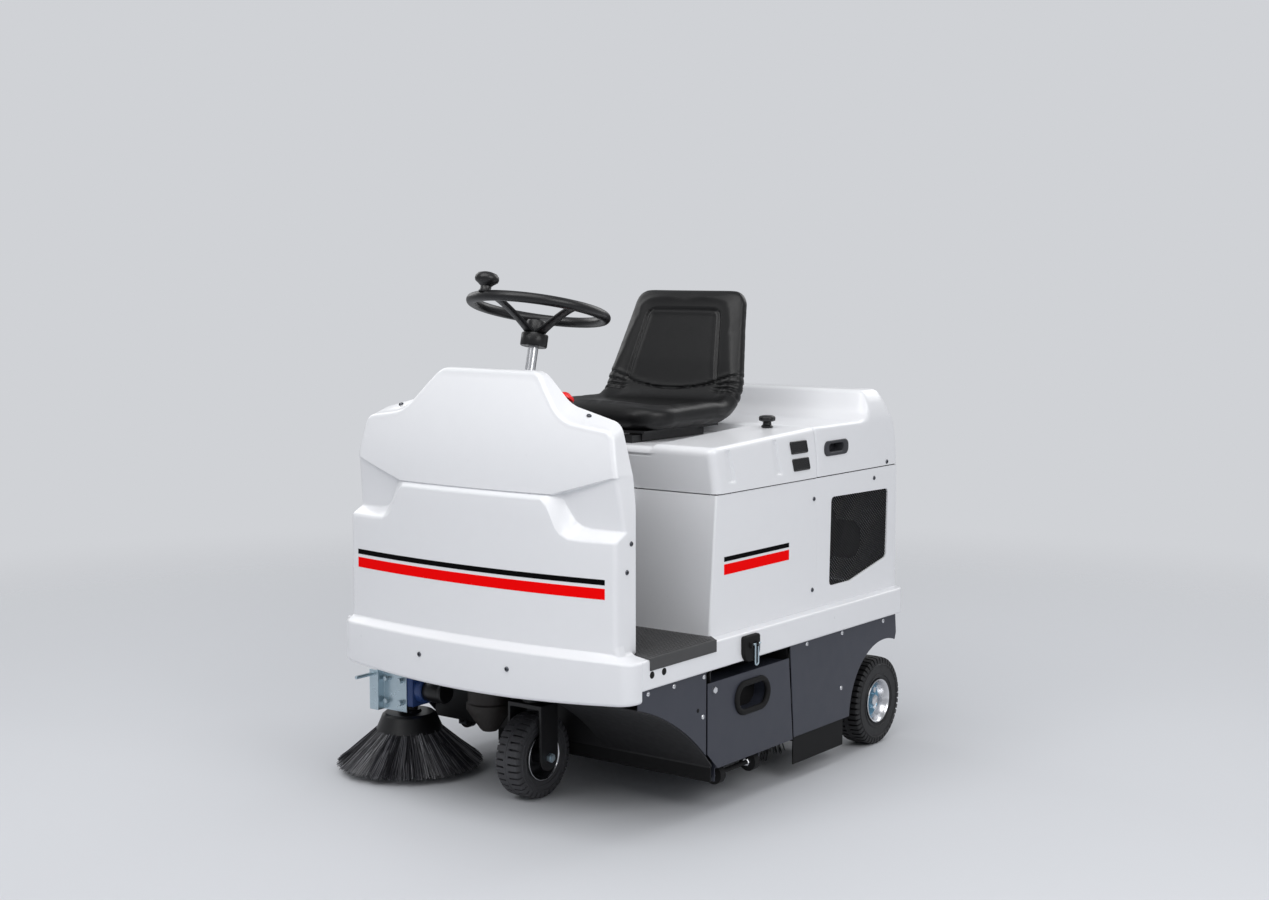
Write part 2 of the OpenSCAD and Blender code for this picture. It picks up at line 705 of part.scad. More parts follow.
// Rear axle tube with its differential case and stub shafts
hub_x = rear_x - rear_tyre_w / 2;
hub_end = rear_x + rear_tyre_w / 2;
case_r = 72;
motor_y = rear_axle_y - 82;
module rear_axle() {
    color("dimgray") place() {
        bar_x(-hub_x + 14, hub_x - 14, rear_axle_y, rear_r, axle_tube_r);
        bar_x(-58, 58, rear_axle_y, rear_r, case_r);
        block([-45, motor_y, rear_r - 40], [45, rear_axle_y, rear_r + 50]);
        both_sides() bar_x(hub_x - 15, hub_x - move_gap, rear_axle_y, rear_r, stub_d / 2 + 6);
        both_sides() bar_x(hub_x - 15, hub_end + 16, rear_axle_y, rear_r, stub_d / 2);
    }
}
motor_l = motor_y - chamber_y - plate_t - 10;
module traction_motor() {
    color("dimgray") place() bar_y(motor_y - motor_l, motor_y, 0, rear_r + 5, 44);
}

// King pin bush and column bush
module bushes() {
    color("goldenrod") place() {
        difference() {
            bar_z(housing_z, sill_z - plate_t, 0, front_axle_y, bush_r);
            bar_z(housing_z - cut, sill_z, 0, front_axle_y, king_pin_d / 2 + run_fit);
        }
        on_column() difference() {
            bar_z(bush_at, bush_at + 24, 0, 0, column_d / 2 + 3 - run_fit);
            bar_z(bush_at - cut, bush_at + 24 + cut, 0, 0, column_d / 2 + run_fit);
        }
    }
}
bush_at = -(steer_z - pod_edge.y - 26) / cos(column_tilt) - 8;

// Closed case that joins the column's foot to the king pin, between deck and pan
king_top = sill_z + 54;
case_y0 = column_y(sill_z + 20) - 34;
module steering_case() {
    color("gray") place() difference() {
        block([-62, case_y0, sill_z], [62, front_axle_y + 56, sill_top - plate_t]);
        bar_z(sill_z - cut, king_top + 4, 0, front_axle_y, king_pin_d / 2 + run_fit);
        intersection() {
            on_column() bar_z(-1200, 0, 0, 0, column_d / 2 + run_fit);
            block([-100, -900, sill_z + 16], [100, 0, sill_top + 100]);
        }
    }
}

// Steering wheel with three spokes and a dished hub
rim_r = steer_d / 2 - grip_d / 2;
hub_r = 26;
spoke_w = 28;
spoke_t = 8;
spoke_turns = [-17, -93, 122];
knob_turn = -103;
stud_d = 10;
module steering_wheel() {
    color("black") place() on_column() {
        rotate_extrude($fn = 96) translate([rim_r, 0]) circle(d = grip_d);
        difference() {
            union() {
                bar_z(-hub_drop + 22, -hub_drop + 48, 0, 0, hub_r);
                bar_z(-hub_drop, -hub_drop + 28, 0, 0, hub_r + 9);
            }
            bar_z(-hub_drop - cut, -hub_drop + 40, 0, 0, column_d / 2 + run_fit);
        }
        for (a = spoke_turns) rotate([0, 0, a]) spoke();
        rotate([0, 0, knob_turn]) translate([rim_r, 0, 0]) bar_z(0, grip_d / 2 + 30, 0, 0, stud_d / 2);
    }
}
module spoke() {
    run = rim_r - hub_r + 6;
    rise = hub_drop - 26;
    translate([hub_r - 6, 0, -rise]) rotate([0, -atan2(rise, run), 0])
        translate([0, -spoke_w / 2, -spoke_t / 2]) cube([norm([run, rise]), spoke_w, spoke_t]);
}
module spinner_knob() {
    color("black") place() on_column() rotate([0, 0, knob_turn]) translate([rim_r, 0,
        grip_d / 2 + move_gap])
        rotate_extrude() polygon(concat([[stud_d / 2 + run_fit, 0], [15, 0], [13, 14], [22, 24]],
            arc([16, 32], 14, -30, 30), arc([0, 18], 34, 52, 90), [[0, 31], [stud_d / 2 + run_fit, 31]]));
}
module column_shaft() {
    foot = (steer_z - sill_z - 22) / cos(column_tilt);
    color("silver") place() on_column() bar_z(-foot, -hub_drop + 38, 0, 0, column_d / 2);
}

// Steering fork with its king pin
leg_x = front_tyre_w / 2 + 8;
crown_z = front_tyre_d + 18;
module steering_fork() {
    color("black") place() translate([0, front_axle_y, 0]) difference() {
        union() {
            block([-leg_x - fork_t, -fork_w / 2, crown_z], [leg_x + fork_t, fork_w / 2, crown_z + 12]);
            both_sides() {
                block([leg_x, -fork_w / 2, front_r], [leg_x + fork_t, fork_w / 2, crown_z + 1]);
                bar_x(leg_x, leg_x + fork_t, 0, front_r, fork_w / 2);
            }
            bar_z(crown_z + 10, housing_z - move_gap, 0, 0, king_pin_d / 2 + 10);
            bar_z(crown_z, king_top, 0, 0, king_pin_d / 2);
        }
        bar_x(-leg_x - fork_t - cut, leg_x + fork_t + cut, 0, front_r, axle_bolt_d / 2 + run_fit);
    }
}
module front_axle() {
    color("silver") place() {
        bar_x(-leg_x - fork_t - 12, leg_x + fork_t + 12, front_axle_y, front_r, axle_bolt_d / 2);
        both_sides() translate([leg_x + fork_t, front_axle_y, front_r]) rotate([0, 90, 0])
            cylinder(h = 9, r = axle_bolt_d * 0.8, $fn = 6);
    }
}

// Tyre of diameter d and width w about the X axis
module tyre(d, w) {
    rotate([0, 90, 0]) rotate_extrude($fn = 96) polygon(rounded([[rim_d / 2 + run_fit, -w / 2 + 8, 4],
        [d / 2 - 22, -w / 2, 10], [d / 2, -w / 2 + 5, 14], [d / 2, w / 2 - 5, 14], [d / 2 - 22, w / 2, 10],
        [rim_d / 2 + run_fit, w / 2 - 8, 4]]));
}
// Dished rim for a tyre of width w with a hub of length l on a shaft of diameter s
module rim(w, l, s) {
    rotate([0, 90, 0]) rotate_extrude($fn = 96) {
        translate([rim_d / 2 - 5, -w / 2 + 12]) square([5, w - 24]);
        translate([s / 2 + run_fit, -3]) square([rim_d / 2 - 2 - s / 2, 6]);
        translate([s / 2 + run_fit, -l / 2]) square([10, l]);
    }
}
module front_tyre() {
    color("black") place() translate([0, front_axle_y, front_r]) tyre(front_tyre_d, front_tyre_w);
}
module front_rim() {
    color("silver") place() translate([0, front_axle_y, front_r])
        rim(front_tyre_w, 2 * (leg_x - move_gap), axle_bolt_d);
}
module rear_tyre(side) {
    color("black") place() translate([side * rear_x, rear_axle_y, rear_r]) tyre(rear_tyre_d, rear_tyre_w);
}
module rear_rim(side) {
    color("silver") place() translate([side * rear_x, rear_axle_y, rear_r]) rim(rear_tyre_w, rear_tyre_w,
        stub_d);
}
module rear_tyre_left() {
    rear_tyre(1);
}
module rear_tyre_right() {
    rear_tyre(-1);
}
module rear_rim_left() {
    rear_rim(1);
}
module rear_rim_right() {
    rear_rim(-1);
}

// Wheel nuts, skirt screws and bumper screws
screw_r = 6;
module screw_x(x, y, z) {
    bar_x(x, x + 3, y, z, screw_r);
}
module fasteners() {
    color("silver") place() {
        both_sides() translate([hub_end + move_gap, rear_axle_y, rear_r]) rotate([0, 90, 0]) difference() {
            cylinder(h = 14, r = stub_d / 2 + 8, $fn = 6);
            translate([0, 0, -cut]) cylinder(h = 20, r = stub_d / 2 + run_fit);
        }
        for (y = [sill_y + 22, sill_y + 150, arc_rear.x - 12]) screw_x(skirt_x, y, sill_z - 12);
        screw_x(skirt_x, arc_rear.x - 8, arc_rear.y + 75);
        both_sides() for (i = [0 : 2]) screw_x(skirt_x, door_y1 + 70 + 160 * i, sill_z - 12);
        both_sides() screw_x(skirt_x, rear_axle_y - 245, sill_z - 165);
        both_sides() for (z = [sill_top + 35, box_top - 65]) screw_x(box_x, split_y - 10, z);
    }
}

// Rubber latch bases on the sills, above the hopper doors
latch_y = door_y0 + 180;
latch_z = sill_z + 28;
latch_w = 58;
latch_t = 12;
wire_d = 5;
hook_w = 22;
module latch_bases() {
    color("black") place() both_sides() difference() {
        union() {
            bar_x(half_w, half_w + latch_t, latch_y, latch_z, latch_w / 2);
            for (s = [-1, 1]) translate([half_w + latch_t - 1, latch_y + s * (hook_w / 2 + 3) - 3,
                latch_z + 8])
                cube([latch_reach - latch_t + 1, 6, 12]);
        }
        bar_y(latch_y - 20, latch_y + 20, half_w + latch_reach - 5, latch_z + 14, wire_d / 2 + run_fit);
    }
}
module latch_hook() {
    x = half_w + latch_reach - 5;
    top = latch_z + 14;
    low = latch_z - 34;
    bar_y(latch_y - hook_w / 2 - 6, latch_y + hook_w / 2 + 6, x, top, wire_d / 2);
    for (s = [-1, 1]) bar_z(low, top, x, latch_y + s * 7, wire_d / 2);
    translate([x, latch_y, low]) rotate([-90, 0, 90]) rotate_extrude(angle = 180) translate([7,
        0]) circle(d = wire_d);
}
module latch_hook_left() {
    color("silver") place() latch_hook();
}
module latch_hook_right() {
    color("silver") place() mirror([1, 0, 0]) latch_hook();
}

// Side brush: fixed pivot bracket, arm with face plates, gear motor, disc and bristles
lift_pin_d = 16;
pot_x = 160;
pot_r = 62;
arm_bar = 10;
module side_brush_bracket() {
    top = sill_z - plate_t;
    color("tan") place() {
        translate([-pot_x, front_axle_y + 11, 0]) rotate_extrude() polygon([[0, 150], [20, 150], [26, 156],
            [pot_r - 4, 204], [pot_r, 210], [pot_r, 226], [pot_r - 4, 230], [pot_r - 4, top], [0, top]]);
        block([-lift_x - 20, lift_y - 15, top - 8], [-pot_x - 20, lift_y + 15, top]);
        for (y = [lift_y - arm_bar / 2 - 9.5, lift_y + arm_bar / 2 + 0.5]) difference() {
            block([-lift_x - 20, y, lift_z - 20], [-lift_x + 20, y + 9, top]);
            bar_y(y - cut, y + 9 + cut, -lift_x, lift_z, lift_pin_d / 2 + run_fit);
        }
    }
}
module side_brush_arm() {
    face_y = lift_y - arm_bar / 2;
    color("silver") place() {
        bar_y(lift_y - 14, lift_y + 14, -lift_x, lift_z, lift_pin_d / 2);
        bar_y(face_y, face_y + arm_bar, -lift_x, lift_z, 17);
        block([-side_brush_x - 50, face_y, gear_z + 92], [-lift_x, face_y + arm_bar, gear_z + 118]);
        block([-lift_x - 17, face_y, gear_z + 92], [-lift_x + 8, face_y + arm_bar, lift_z]);
        block([-side_brush_x - 56, face_y, gear_z - 16], [-side_brush_x + 32, face_y + 4, gear_z + 110]);
        block([-side_brush_x - 56, face_y - 24, gear_z - 16], [-side_brush_x - 52, face_y + 4,
            gear_z + 110]);
        block([-side_brush_x - 84, face_y - 24, gear_z - 16], [-side_brush_x - 52, face_y - 20,
            gear_z + 96]);
        bar_y(face_y - 88, face_y - 20, -side_brush_x - 72, gear_z + 84, 5);
        for (x = [-38, 14], z = [10, 72]) translate([-side_brush_x + x, face_y, gear_z + z]) rotate([90,
            0, 0])
            cylinder(h = 12, r = 8, $fn = 6);
    }
}
module side_brush_motor() {
    back = lift_y - arm_bar / 2 + 4;
    color("midnightblue") place() {
        block([-side_brush_x - 48, back, gear_z], [-side_brush_x + 52, side_y + 32, gear_z + 88]);
        bar_x(-side_brush_x + 50, -side_brush_x + 140, side_y, gear_z + 46, 31);
        bar_z(gear_z - 16, gear_z + 1, -side_brush_x, side_y, 24);
        bar_z(gear_z - 62, gear_z, -side_brush_x, side_y, 10);
    }
}
bristle_z = gear_z - 72;
module side_brush_disc() {
    color("black") place() translate([-side_brush_x, side_y, 0]) rotate_extrude($fn = 96)
        polygon([[10 + run_fit, gear_z - 60], [10 + run_fit, gear_z - 17], [30, gear_z - 17], [34,
            gear_z - 24],
            [disc_d / 2 - 8, gear_z - 24], [disc_d / 2, gear_z - 30], [disc_d / 2 + 18, bristle_z],
            [disc_d / 2 - 12, bristle_z], [disc_d / 2 - 24, gear_z - 40], [28, gear_z - 40], [28,
                gear_z - 60]]);
}
module side_brush_bristles() {
    color("black") place() translate([-side_brush_x, side_y, 0]) rotate_extrude($fn = 96)
        polygon([[disc_d / 2 - 12, bristle_z], [disc_d / 2 + 17, bristle_z], [side_brush_d / 2,
            side_brush_z + 14],
            [side_brush_d / 2 - 6, side_brush_z], [side_brush_d / 2 - 70, side_brush_z]]);
}

// Main brush: swinging arms, motor, core and bristles
core_d = 120;
module main_brush_arms() {
    span = [brush_y - pivot_y, brush_z - pivot_z];
    color("dimgray") place() {
        bar_x(-arm_x - 1, arm_x + 1, pivot_y, pivot_z, 17);
        both_sides() {
            bar_x(arm_x + arm_t - 1, arm_x + arm_t + 13, pivot_y, pivot_z, brush_shaft_d / 2);
            along_x(arm_x, arm_x + arm_t) difference() {
                union() {
                    translate([pivot_y, pivot_z]) circle(r = 24);
                    translate([brush_y, brush_z]) circle(r = 26);
                    translate([drive_y, pivot_z]) circle(r = 40);
                    translate([drive_y, pivot_z - 19]) square([pivot_y - drive_y, 38]);
                    translate([pivot_y, pivot_z]) rotate(atan2(span.y, span.x)) translate([0, -16])
                        square([norm(span), 32]);
                }
                translate([brush_y, brush_z]) circle(r = brush_shaft_d / 2 + run_fit);
            }
        }
    }
}
module main_brush_motor() {
    color("dimgray") place() bar_x(arm_x - 150, arm_x, drive_y, pivot_z, 40);
}
module main_brush_core() {
    color("dimgray") place() {
        bar_x(-main_brush_l / 2, main_brush_l / 2, brush_y, brush_z, core_d / 2);
        bar_x(-arm_x - arm_t - 4, arm_x + arm_t + 4, brush_y, brush_z, brush_shaft_d / 2);
    }
}
module main_brush_bristles() {
    color("black") place() difference() {
        bar_x(-main_brush_l / 2, main_brush_l / 2, brush_y, brush_z, main_brush_d / 2);
        bar_x(-main_brush_l / 2 - cut, main_brush_l / 2 + cut, brush_y, brush_z, core_d / 2 + run_fit);
    }
}

// Left hopper drawer: door, bin, flanges that hang on the runners, and roller brackets
oval_y = door_y0 + 203;
oval_z = hopper_z + 160;
roller_x = skirt_x - 30;
roller_z = hopper_z - 27;
roller_y = [door_y0 + 79, door_y0 + 239];
roller_shaft_d = 12;
roller_w = 22;
right_set = 60;
// The rollers may be moved back by roller_set to clear the side brush
module hopper(roller_set) {
    lid = flange_z + move_gap;
    along_x(deck_x, skirt_x) difference() {
        polygon([[door_y0, door_top], [door_y0, hopper_z + 45], [door_y0 + 47, hopper_z],
            [door_y1 + door_slant, hopper_z], [door_y1, door_top]]);
        translate([oval_y, oval_z]) oval(oval_l, oval_h);
    }
    block([bin_x, bin_y0, hopper_z], [deck_x, bin_y1, hopper_z + sheet_t]);
    block([bin_x, bin_y0, hopper_z], [deck_x, bin_y0 + sheet_t, lid + sheet_t]);
    block([bin_x, bin_y0, hopper_z], [bin_x + sheet_t, bin_y1, lid + sheet_t]);
    block([bin_x, bin_y1 - sheet_t, hopper_z], [deck_x, bin_y1, hopper_z + 46]);
    block([bin_x, bin_y0 - bin_clear, lid], [deck_x, bin_y0 + 1, lid + sheet_t]);
    block([bin_x, bin_y1 - 4, lid], [deck_x, bin_y1 + 14, lid + sheet_t]);
    block([deck_x - 90, bin_y0, lid], [deck_x, bin_y1, lid + sheet_t]);
    along_x(deck_x - 42, deck_x) difference() {
        translate([oval_y, oval_z]) oval(oval_l + 2 * sheet_t, oval_h + 2 * sheet_t);
        translate([oval_y, oval_z]) oval(oval_l, oval_h);
    }
    along_x(deck_x - 42 - sheet_t, deck_x - 42) translate([oval_y, oval_z])
        oval(oval_l + 2 * sheet_t, oval_h + 2 * sheet_t);
    for (y = [roller_y[0] - 26 + roller_set, roller_y[1] + 22 + roller_set]) difference() {
        block([roller_x - 14, y, roller_z - 12], [roller_x + 14, y + 4, hopper_z + 1]);
        bar_y(y - cut, y + 4 + cut, roller_x, roller_z, roller_shaft_d / 2 + run_fit);
    }
}
module hopper_left() {
    color("slategray") place() hopper(0);
}
module hopper_right() {
    color("slategray") place() mirror([1, 0, 0]) hopper(right_set);
}
module rollers(roller_set) {
    translate([0, roller_set, 0]) {
        bar_y(roller_y[0] - 30, roller_y[1] + 30, roller_x, roller_z, roller_shaft_d / 2);
        for (y = roller_y) bar_y(y - roller_w / 2, y + roller_w / 2, roller_x, roller_z, roller_d / 2);
    }
}
module hopper_rollers_left() {
    color("black") place() rollers(0);
}
module hopper_rollers_right() {
    color("black") place() mirror([1, 0, 0]) rollers(right_set);
}

// Seat hood with a flat seat recess, hinged along its front edge
hood_y1 = split_y - seam / 2;
recess_z = hood_top - 6;
recess_l = 470;
hood_knob_at = [349, box_y + 420];
knob_stem_d = 16;
module seat_hood() {
    hood_x = box_x + hood_over;
    color("white") place() difference() {
        union() {
            difference() {
                along_x(-hood_x, hood_x) polygon(rounded([[hood_y0, cover_z, 0], [hood_y0, hood_top, 22],
                    [hood_y1, deck_z, 3], [hood_y1, cover_z, 0]]));
                block([-hood_x + wall, hood_y0 + wall, cover_z - cut], [hood_x - wall, hood_y1 - wall,
                    recess_z - wall]);
                block([-recess_w / 2, hood_y0 - cut, recess_z], [recess_w / 2, hood_y0 + recess_l,
                    deck_z + cut]);
            }
            for (x = hood_hinge_x) {
                bar_x(x - hinge_l / 2 + move_gap, x + hinge_l / 2 - move_gap, hood_hinge_y, hinge_z,
                    hinge_r);
                block([x - hinge_l / 2 + move_gap, hood_hinge_y - hinge_r + 3, hinge_z + hinge_r - 2],
                    [x + hinge_l / 2 - move_gap, hood_y0 + 1, hinge_z + 36]);
            }
        }
        for (x = hood_hinge_x)
            bar_x(x - hinge_l, x + hinge_l, hood_hinge_y, hinge_z, hinge_pin_d / 2 + run_fit);
        bar_z(recess_z - 20, deck_z + 5, hood_knob_at.x, hood_knob_at.y, knob_stem_d / 2 + run_fit);
    }
}
module hood_knob() {
    top = deck_z + move_gap;
    color("black") place() translate([hood_knob_at.x, hood_knob_at.y, 0]) rotate_extrude() polygon(concat(
        [[0, recess_z - 30], [knob_stem_d / 2, recess_z - 30], [knob_stem_d / 2, top], [13, top], [11,
            top + 12]],
        arc([knob_d / 2 - 6, top + 20], 6, -60, 90), [[0, top + 28]]));
}
// Black louvre frames on both sides of the hood
vent_l = 80;
vent_h = 36;
module hood_vents() {
    x = box_x + hood_over;
    color("black") place() both_sides() for (v = [[split_y - 96, hood_top - 26], [split_y - 80,
        hood_top - 70]])
        difference() {
            along_x(x, x + 3) polygon(rounded([for (c = [[-1, -1], [1, -1], [1, 1], [-1, 1]])
                [v.x + c.x * vent_l / 2 - c.y * 5, v.y + c.y * vent_h / 2, 5]]));
            for (i = [-1 : 1]) block([x + 1, v.x - vent_l / 2 + 10, v.y + i * 9 - 2], [x + 4,
                v.x + vent_l / 2 - 10, v.y + i * 9 + 2]);
        }
}

// Seat rails on the hood, seat pan with the sliding rails, and the padded seat
rail_y0 = hood_y0 + 54;
rail_h = 20;
rail_w = 34;
pan_z = recess_z + rail_h + move_gap + 4;
module seat_rails() {
    color("black") place() both_sides() block([rail_span / 2 - rail_w / 2, rail_y0, recess_z],
        [rail_span / 2 + rail_w / 2, rail_y0 + rail_l, recess_z + rail_h]);
}
pan_t = 6;
seat_y0 = rail_y0 + 12;
module seat_pan() {
    color("black") place() {
        both_sides() translate([rail_span / 2, 0, 0]) {
            block([-rail_w / 2 - 4, rail_y0 + 40, pan_z - 4], [rail_w / 2 + 4, rail_y0 + rail_l - 40,
                pan_z]);
            for (s = [-1, 1]) translate([s * (rail_w / 2 + 2 + move_gap / 2), 0, 0])
                block([-2 + move_gap / 2, rail_y0 + 40, recess_z + 4], [2, rail_y0 + rail_l - 40, pan_z]);
        }
        block([-rail_span / 2 - 40, seat_y0 + 10, pan_z], [rail_span / 2 + 40, seat_y0 + seat_len - 20,
            pan_z + pan_t]);
    }
}
module seat_pad() {
    low = pan_z + pan_t;
    r = pad_t / 2;
    y1 = seat_y0 + seat_len;
    lean = 116;
    color("black") place() {
        hull() for (s = [-1, 1]) {
            translate([s * (seat_w / 2 - r - 10), seat_y0 + r, low + r]) sphere(r = r, $fn = 24);
            translate([s * (seat_w / 2 - r), y1 - 60, low + r]) sphere(r = r, $fn = 24);
            translate([s * (seat_w / 2 - r), y1 - 60, low + r + 22]) sphere(r = r, $fn = 24);
            translate([s * (seat_w / 2 - r - 10), y1 + 10, low + r]) sphere(r = r, $fn = 24);
            translate([s * (seat_w / 2 - r - 6), seat_y0 + 60, low + r + 10]) sphere(r = r, $fn = 24);
        }
        hull() for (s = [-1, 1]) {
            translate([s * (seat_w / 2 - r), y1 - 4, low + r + 20]) sphere(r = r, $fn = 24);
            translate([s * (seat_w / 2 - r), y1 + 44, low + r + 100]) sphere(r = r, $fn = 24);
            translate([s * (seat_top_w / 2 - r), y1 + lean, low + seat_back_h - r]) sphere(r = r, $fn = 24);
        }
    }
}

// Rear cover with its raised ridge, hinged along the rear
cover_y0 = split_y + seam / 2;
cover_y1 = rear_y - 2;
// Side profile of the rear cover, inset by d
function cover_profile(d) = rounded([[cover_y0 + d, cover_z - (d > 0 ? cut : 0), 0], [cover_y0 + d,
    deck_z - d, 3],
    [rear_y - 178, deck_z - d, 12 + d], [rear_y - 164 + d, ridge_z - d, 14 - d],
    [rear_y - 60 - d, ridge_z - d, 30], [cover_y1 - 18 - d, cover_z + 108, 60],
    [cover_y1 - d, cover_z + 18, 10],
    [cover_y1 - d, cover_z - (d > 0 ? cut : 0), 0]]);
grip_at = [split_y + 103, cover_z + 72];
module rear_cover() {
    color("white") place() difference() {
        union() {
            difference() {
                along_x(-box_x, box_x) polygon(cover_profile(0));
                along_x(-box_x + wall, box_x - wall) polygon(cover_profile(wall));
            }
            for (x = cover_hinge_x) {
                bar_x(x - hinge_l / 2 + move_gap, x + hinge_l / 2 - move_gap, cover_hinge_y, hinge_z,
                    hinge_r);
                block([x - hinge_l / 2 + move_gap, cover_y1 - 1, hinge_z + hinge_r - 2],
                    [x + hinge_l / 2 - move_gap, cover_hinge_y + hinge_r - 3, hinge_z + 20]);
            }
        }
        for (x = cover_hinge_x)
            bar_x(x - hinge_l, x + hinge_l, cover_hinge_y, hinge_z, hinge_pin_d / 2 + run_fit);
        along_x(-box_x - cut, box_x + cut) translate(grip_at) oval(grip_l, grip_h);
    }
}
module cover_handles() {
    depth = 34;
    color("black") place() both_sides() difference() {
        union() {
            along_x(box_x - depth, box_x + 1) translate(grip_at) oval(grip_l - 1, grip_h - 1);
            along_x(box_x, box_x + 2) translate(grip_at) oval(grip_l + 8, grip_h + 8);
        }
        along_x(box_x - depth + 3, box_x + 3) translate(grip_at) oval(grip_l - 8, grip_h - 8);
    }
}

main_frame();
side_sills();
front_fairing();
dash_panel();
floor_mat();
seat_box();
rear_body();
grilles();
front_skirt();
rear_skirts();
front_bulkhead();
rubber_flaps();
batteries();
filter_panel();
fan_housing();
fan_impeller();
rear_axle();
traction_motor();
bushes();
steering_case();
fasteners();
latch_bases();
latch_hook_left();
latch_hook_right();
side_brush_bracket();
side_brush_arm();
side_brush_motor();
side_brush_disc();
side_brush_bristles();
steering_wheel();
column_shaft();
spinner_knob();
steering_fork();
front_axle();
front_tyre();
front_rim();
rear_tyre_left();
rear_rim_left();
rear_tyre_right();
rear_rim_right();
main_brush_arms();
main_brush_motor();
main_brush_core();
main_brush_bristles();
hopper_left();
hopper_right();
hopper_rollers_left();
hopper_rollers_right();
seat_hood();
hood_vents();
hood_knob();
seat_rails();
seat_pan();
seat_pad();
rear_cover();
cover_handles();
emergency_button();
key();
accelerator_pedal();
brake_pedal();
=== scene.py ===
"""Looks of a ride-on sweeper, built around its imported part."""

import json
import math
import random

import bmesh
import bpy
import numpy as np
from mathutils import Matrix, Vector


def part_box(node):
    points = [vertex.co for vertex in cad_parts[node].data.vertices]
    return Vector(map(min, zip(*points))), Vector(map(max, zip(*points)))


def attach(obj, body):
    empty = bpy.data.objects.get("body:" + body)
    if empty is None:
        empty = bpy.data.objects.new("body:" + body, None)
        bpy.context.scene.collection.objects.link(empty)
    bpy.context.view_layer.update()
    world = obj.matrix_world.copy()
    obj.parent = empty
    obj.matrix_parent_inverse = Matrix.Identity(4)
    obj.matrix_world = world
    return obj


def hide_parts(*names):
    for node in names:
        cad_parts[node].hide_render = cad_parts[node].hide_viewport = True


bl_info = {
    "name": "Ride-on sweeper",
    "version": (1, 0, 0),
    "blender": (4, 5, 0),
    "location": "View3D > Sidebar > Sweeper",
    "description": "Paint, padding, bristles and small fittings for a ride-on sweeper",
    "category": "Object",
}

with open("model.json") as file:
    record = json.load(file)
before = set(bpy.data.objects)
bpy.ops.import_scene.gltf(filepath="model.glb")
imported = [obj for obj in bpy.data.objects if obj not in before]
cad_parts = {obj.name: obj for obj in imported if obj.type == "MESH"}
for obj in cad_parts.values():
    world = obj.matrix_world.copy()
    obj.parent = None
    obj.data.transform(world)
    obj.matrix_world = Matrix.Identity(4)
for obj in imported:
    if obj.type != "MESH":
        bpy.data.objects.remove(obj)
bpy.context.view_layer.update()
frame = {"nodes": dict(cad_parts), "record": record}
JOINTS = {joint["name"]: joint for joint in frame["record"]["behaviour"]["joints"]}

# Lengths are millimetres in the machine's own frame, X to its left, Y to its rear and Z up, apart from
# the stage's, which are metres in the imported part's frame. SHIFT takes the first frame to the second.
SHIFT = np.array((69.5, -31.0, 0.0))
MM = 0.001

# Body
SILL_X = 494.0
SKIRT_X = 480.0
BOX_X = 460.0
# Fairing
FAIRING_X = 440.0
BOW_R = 2600.0
PANEL_Y = -655.0
PANEL_CURVE = 8.3e-4
CREASE_Y = -640.0
CREASE_Z = 836.0
FAIRING_REAR = -540.0
FAIRING_EDGE = 14.0
BUMPER_Y = -678.0
BUMPER_RIGHT = 479.0
BUMPER_TOP = 453.0
BUMPER_ENDS = (-557.5, -587.0)
# Hood and rear cover
SKIN_WALL = 5.0
HOOD_X = 462.0
HOOD_LOW = 815.0
HOOD_HINGE = (-251.0, 813.5)
COVER_HINGE = (718.0, 813.5)
HOOD_LONG = 498.0
HOOD_REACH = 511.0
COVER_REACH = 514.8
COVER_FRONT = 263.5
COVER_REAR = 708.0
DECK_Z = 953.0
RIDGE_Z = 1036.0
GRIP_AT = (360.0, 889.0)
# Tyres: radius, width, bore, slots in a row, share of the pitch that a slot takes, and depth of the slots
FRONT_TYRE = (112.0, 81.0, 59.0, 36, 0.25, 10.0)
REAR_TYRE = (128.0, 82.0, 60.0, 46, 0.3, 11.0)
# Length of the pattern that every brush filament is stretched from
FILAMENT = 100.0
# Points along the seat's middle line
SEAT_STEPS = 160
# Camera of the stage, from the photograph's perspective
CAMERA_AT = (3.13515, -4.09387, 1.39272)
CAMERA_AZIMUTH = math.radians(36.736)
CAMERA_PITCH = math.radians(5.719)
CAMERA_LENS = 52.61
# Corners of a square, in order round it
SQUARE = ((1, 1), (1, -1), (-1, -1), (-1, 1))


# Points, faces and pieces


def place(points):
    """Machine millimetres to the part's frame in metres."""
    return (np.asarray(points, float) + SHIFT) * MM


def centre(joint):
    """A joint's point in machine millimetres."""
    return np.array(JOINTS[joint]["pos_m"]) / MM - SHIFT


def box_of(node):
    """Low and high corners of a node's box in machine millimetres."""
    return tuple(np.array(corner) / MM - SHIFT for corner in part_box(node))


def round_angles(count):
    """Evenly spaced angles of one full turn."""
    return np.linspace(0, 2 * math.pi, count, endpoint=False)


def squared(values, power):
    """Cosines or sines drawn towards the corners of a square."""
    return np.sign(values) * abs(values) ** power


def linked(name, data):
    """A new object of some data, in the scene."""
    obj = bpy.data.objects.new(name, data)
    bpy.context.scene.collection.objects.link(obj)
    return obj


def axis_turn(axis):
    """Rotation that takes +Z to the axis, as a 3 by 3 array."""
    return np.array(Vector((0, 0, 1)).rotation_difference(Vector(axis)).to_matrix())


def sheet_faces(rows, columns, wrap_rows=False, wrap_columns=False):
    """Quads of a grid of points listed row by row."""
    faces = []
    for i in range(rows if wrap_rows else rows - 1):
        for j in range(columns if wrap_columns else columns - 1):
            k, m = (i + 1) % rows, (j + 1) % columns
            faces.append((i * columns + j, i * columns + m, k * columns + m, k * columns + j))
    return faces


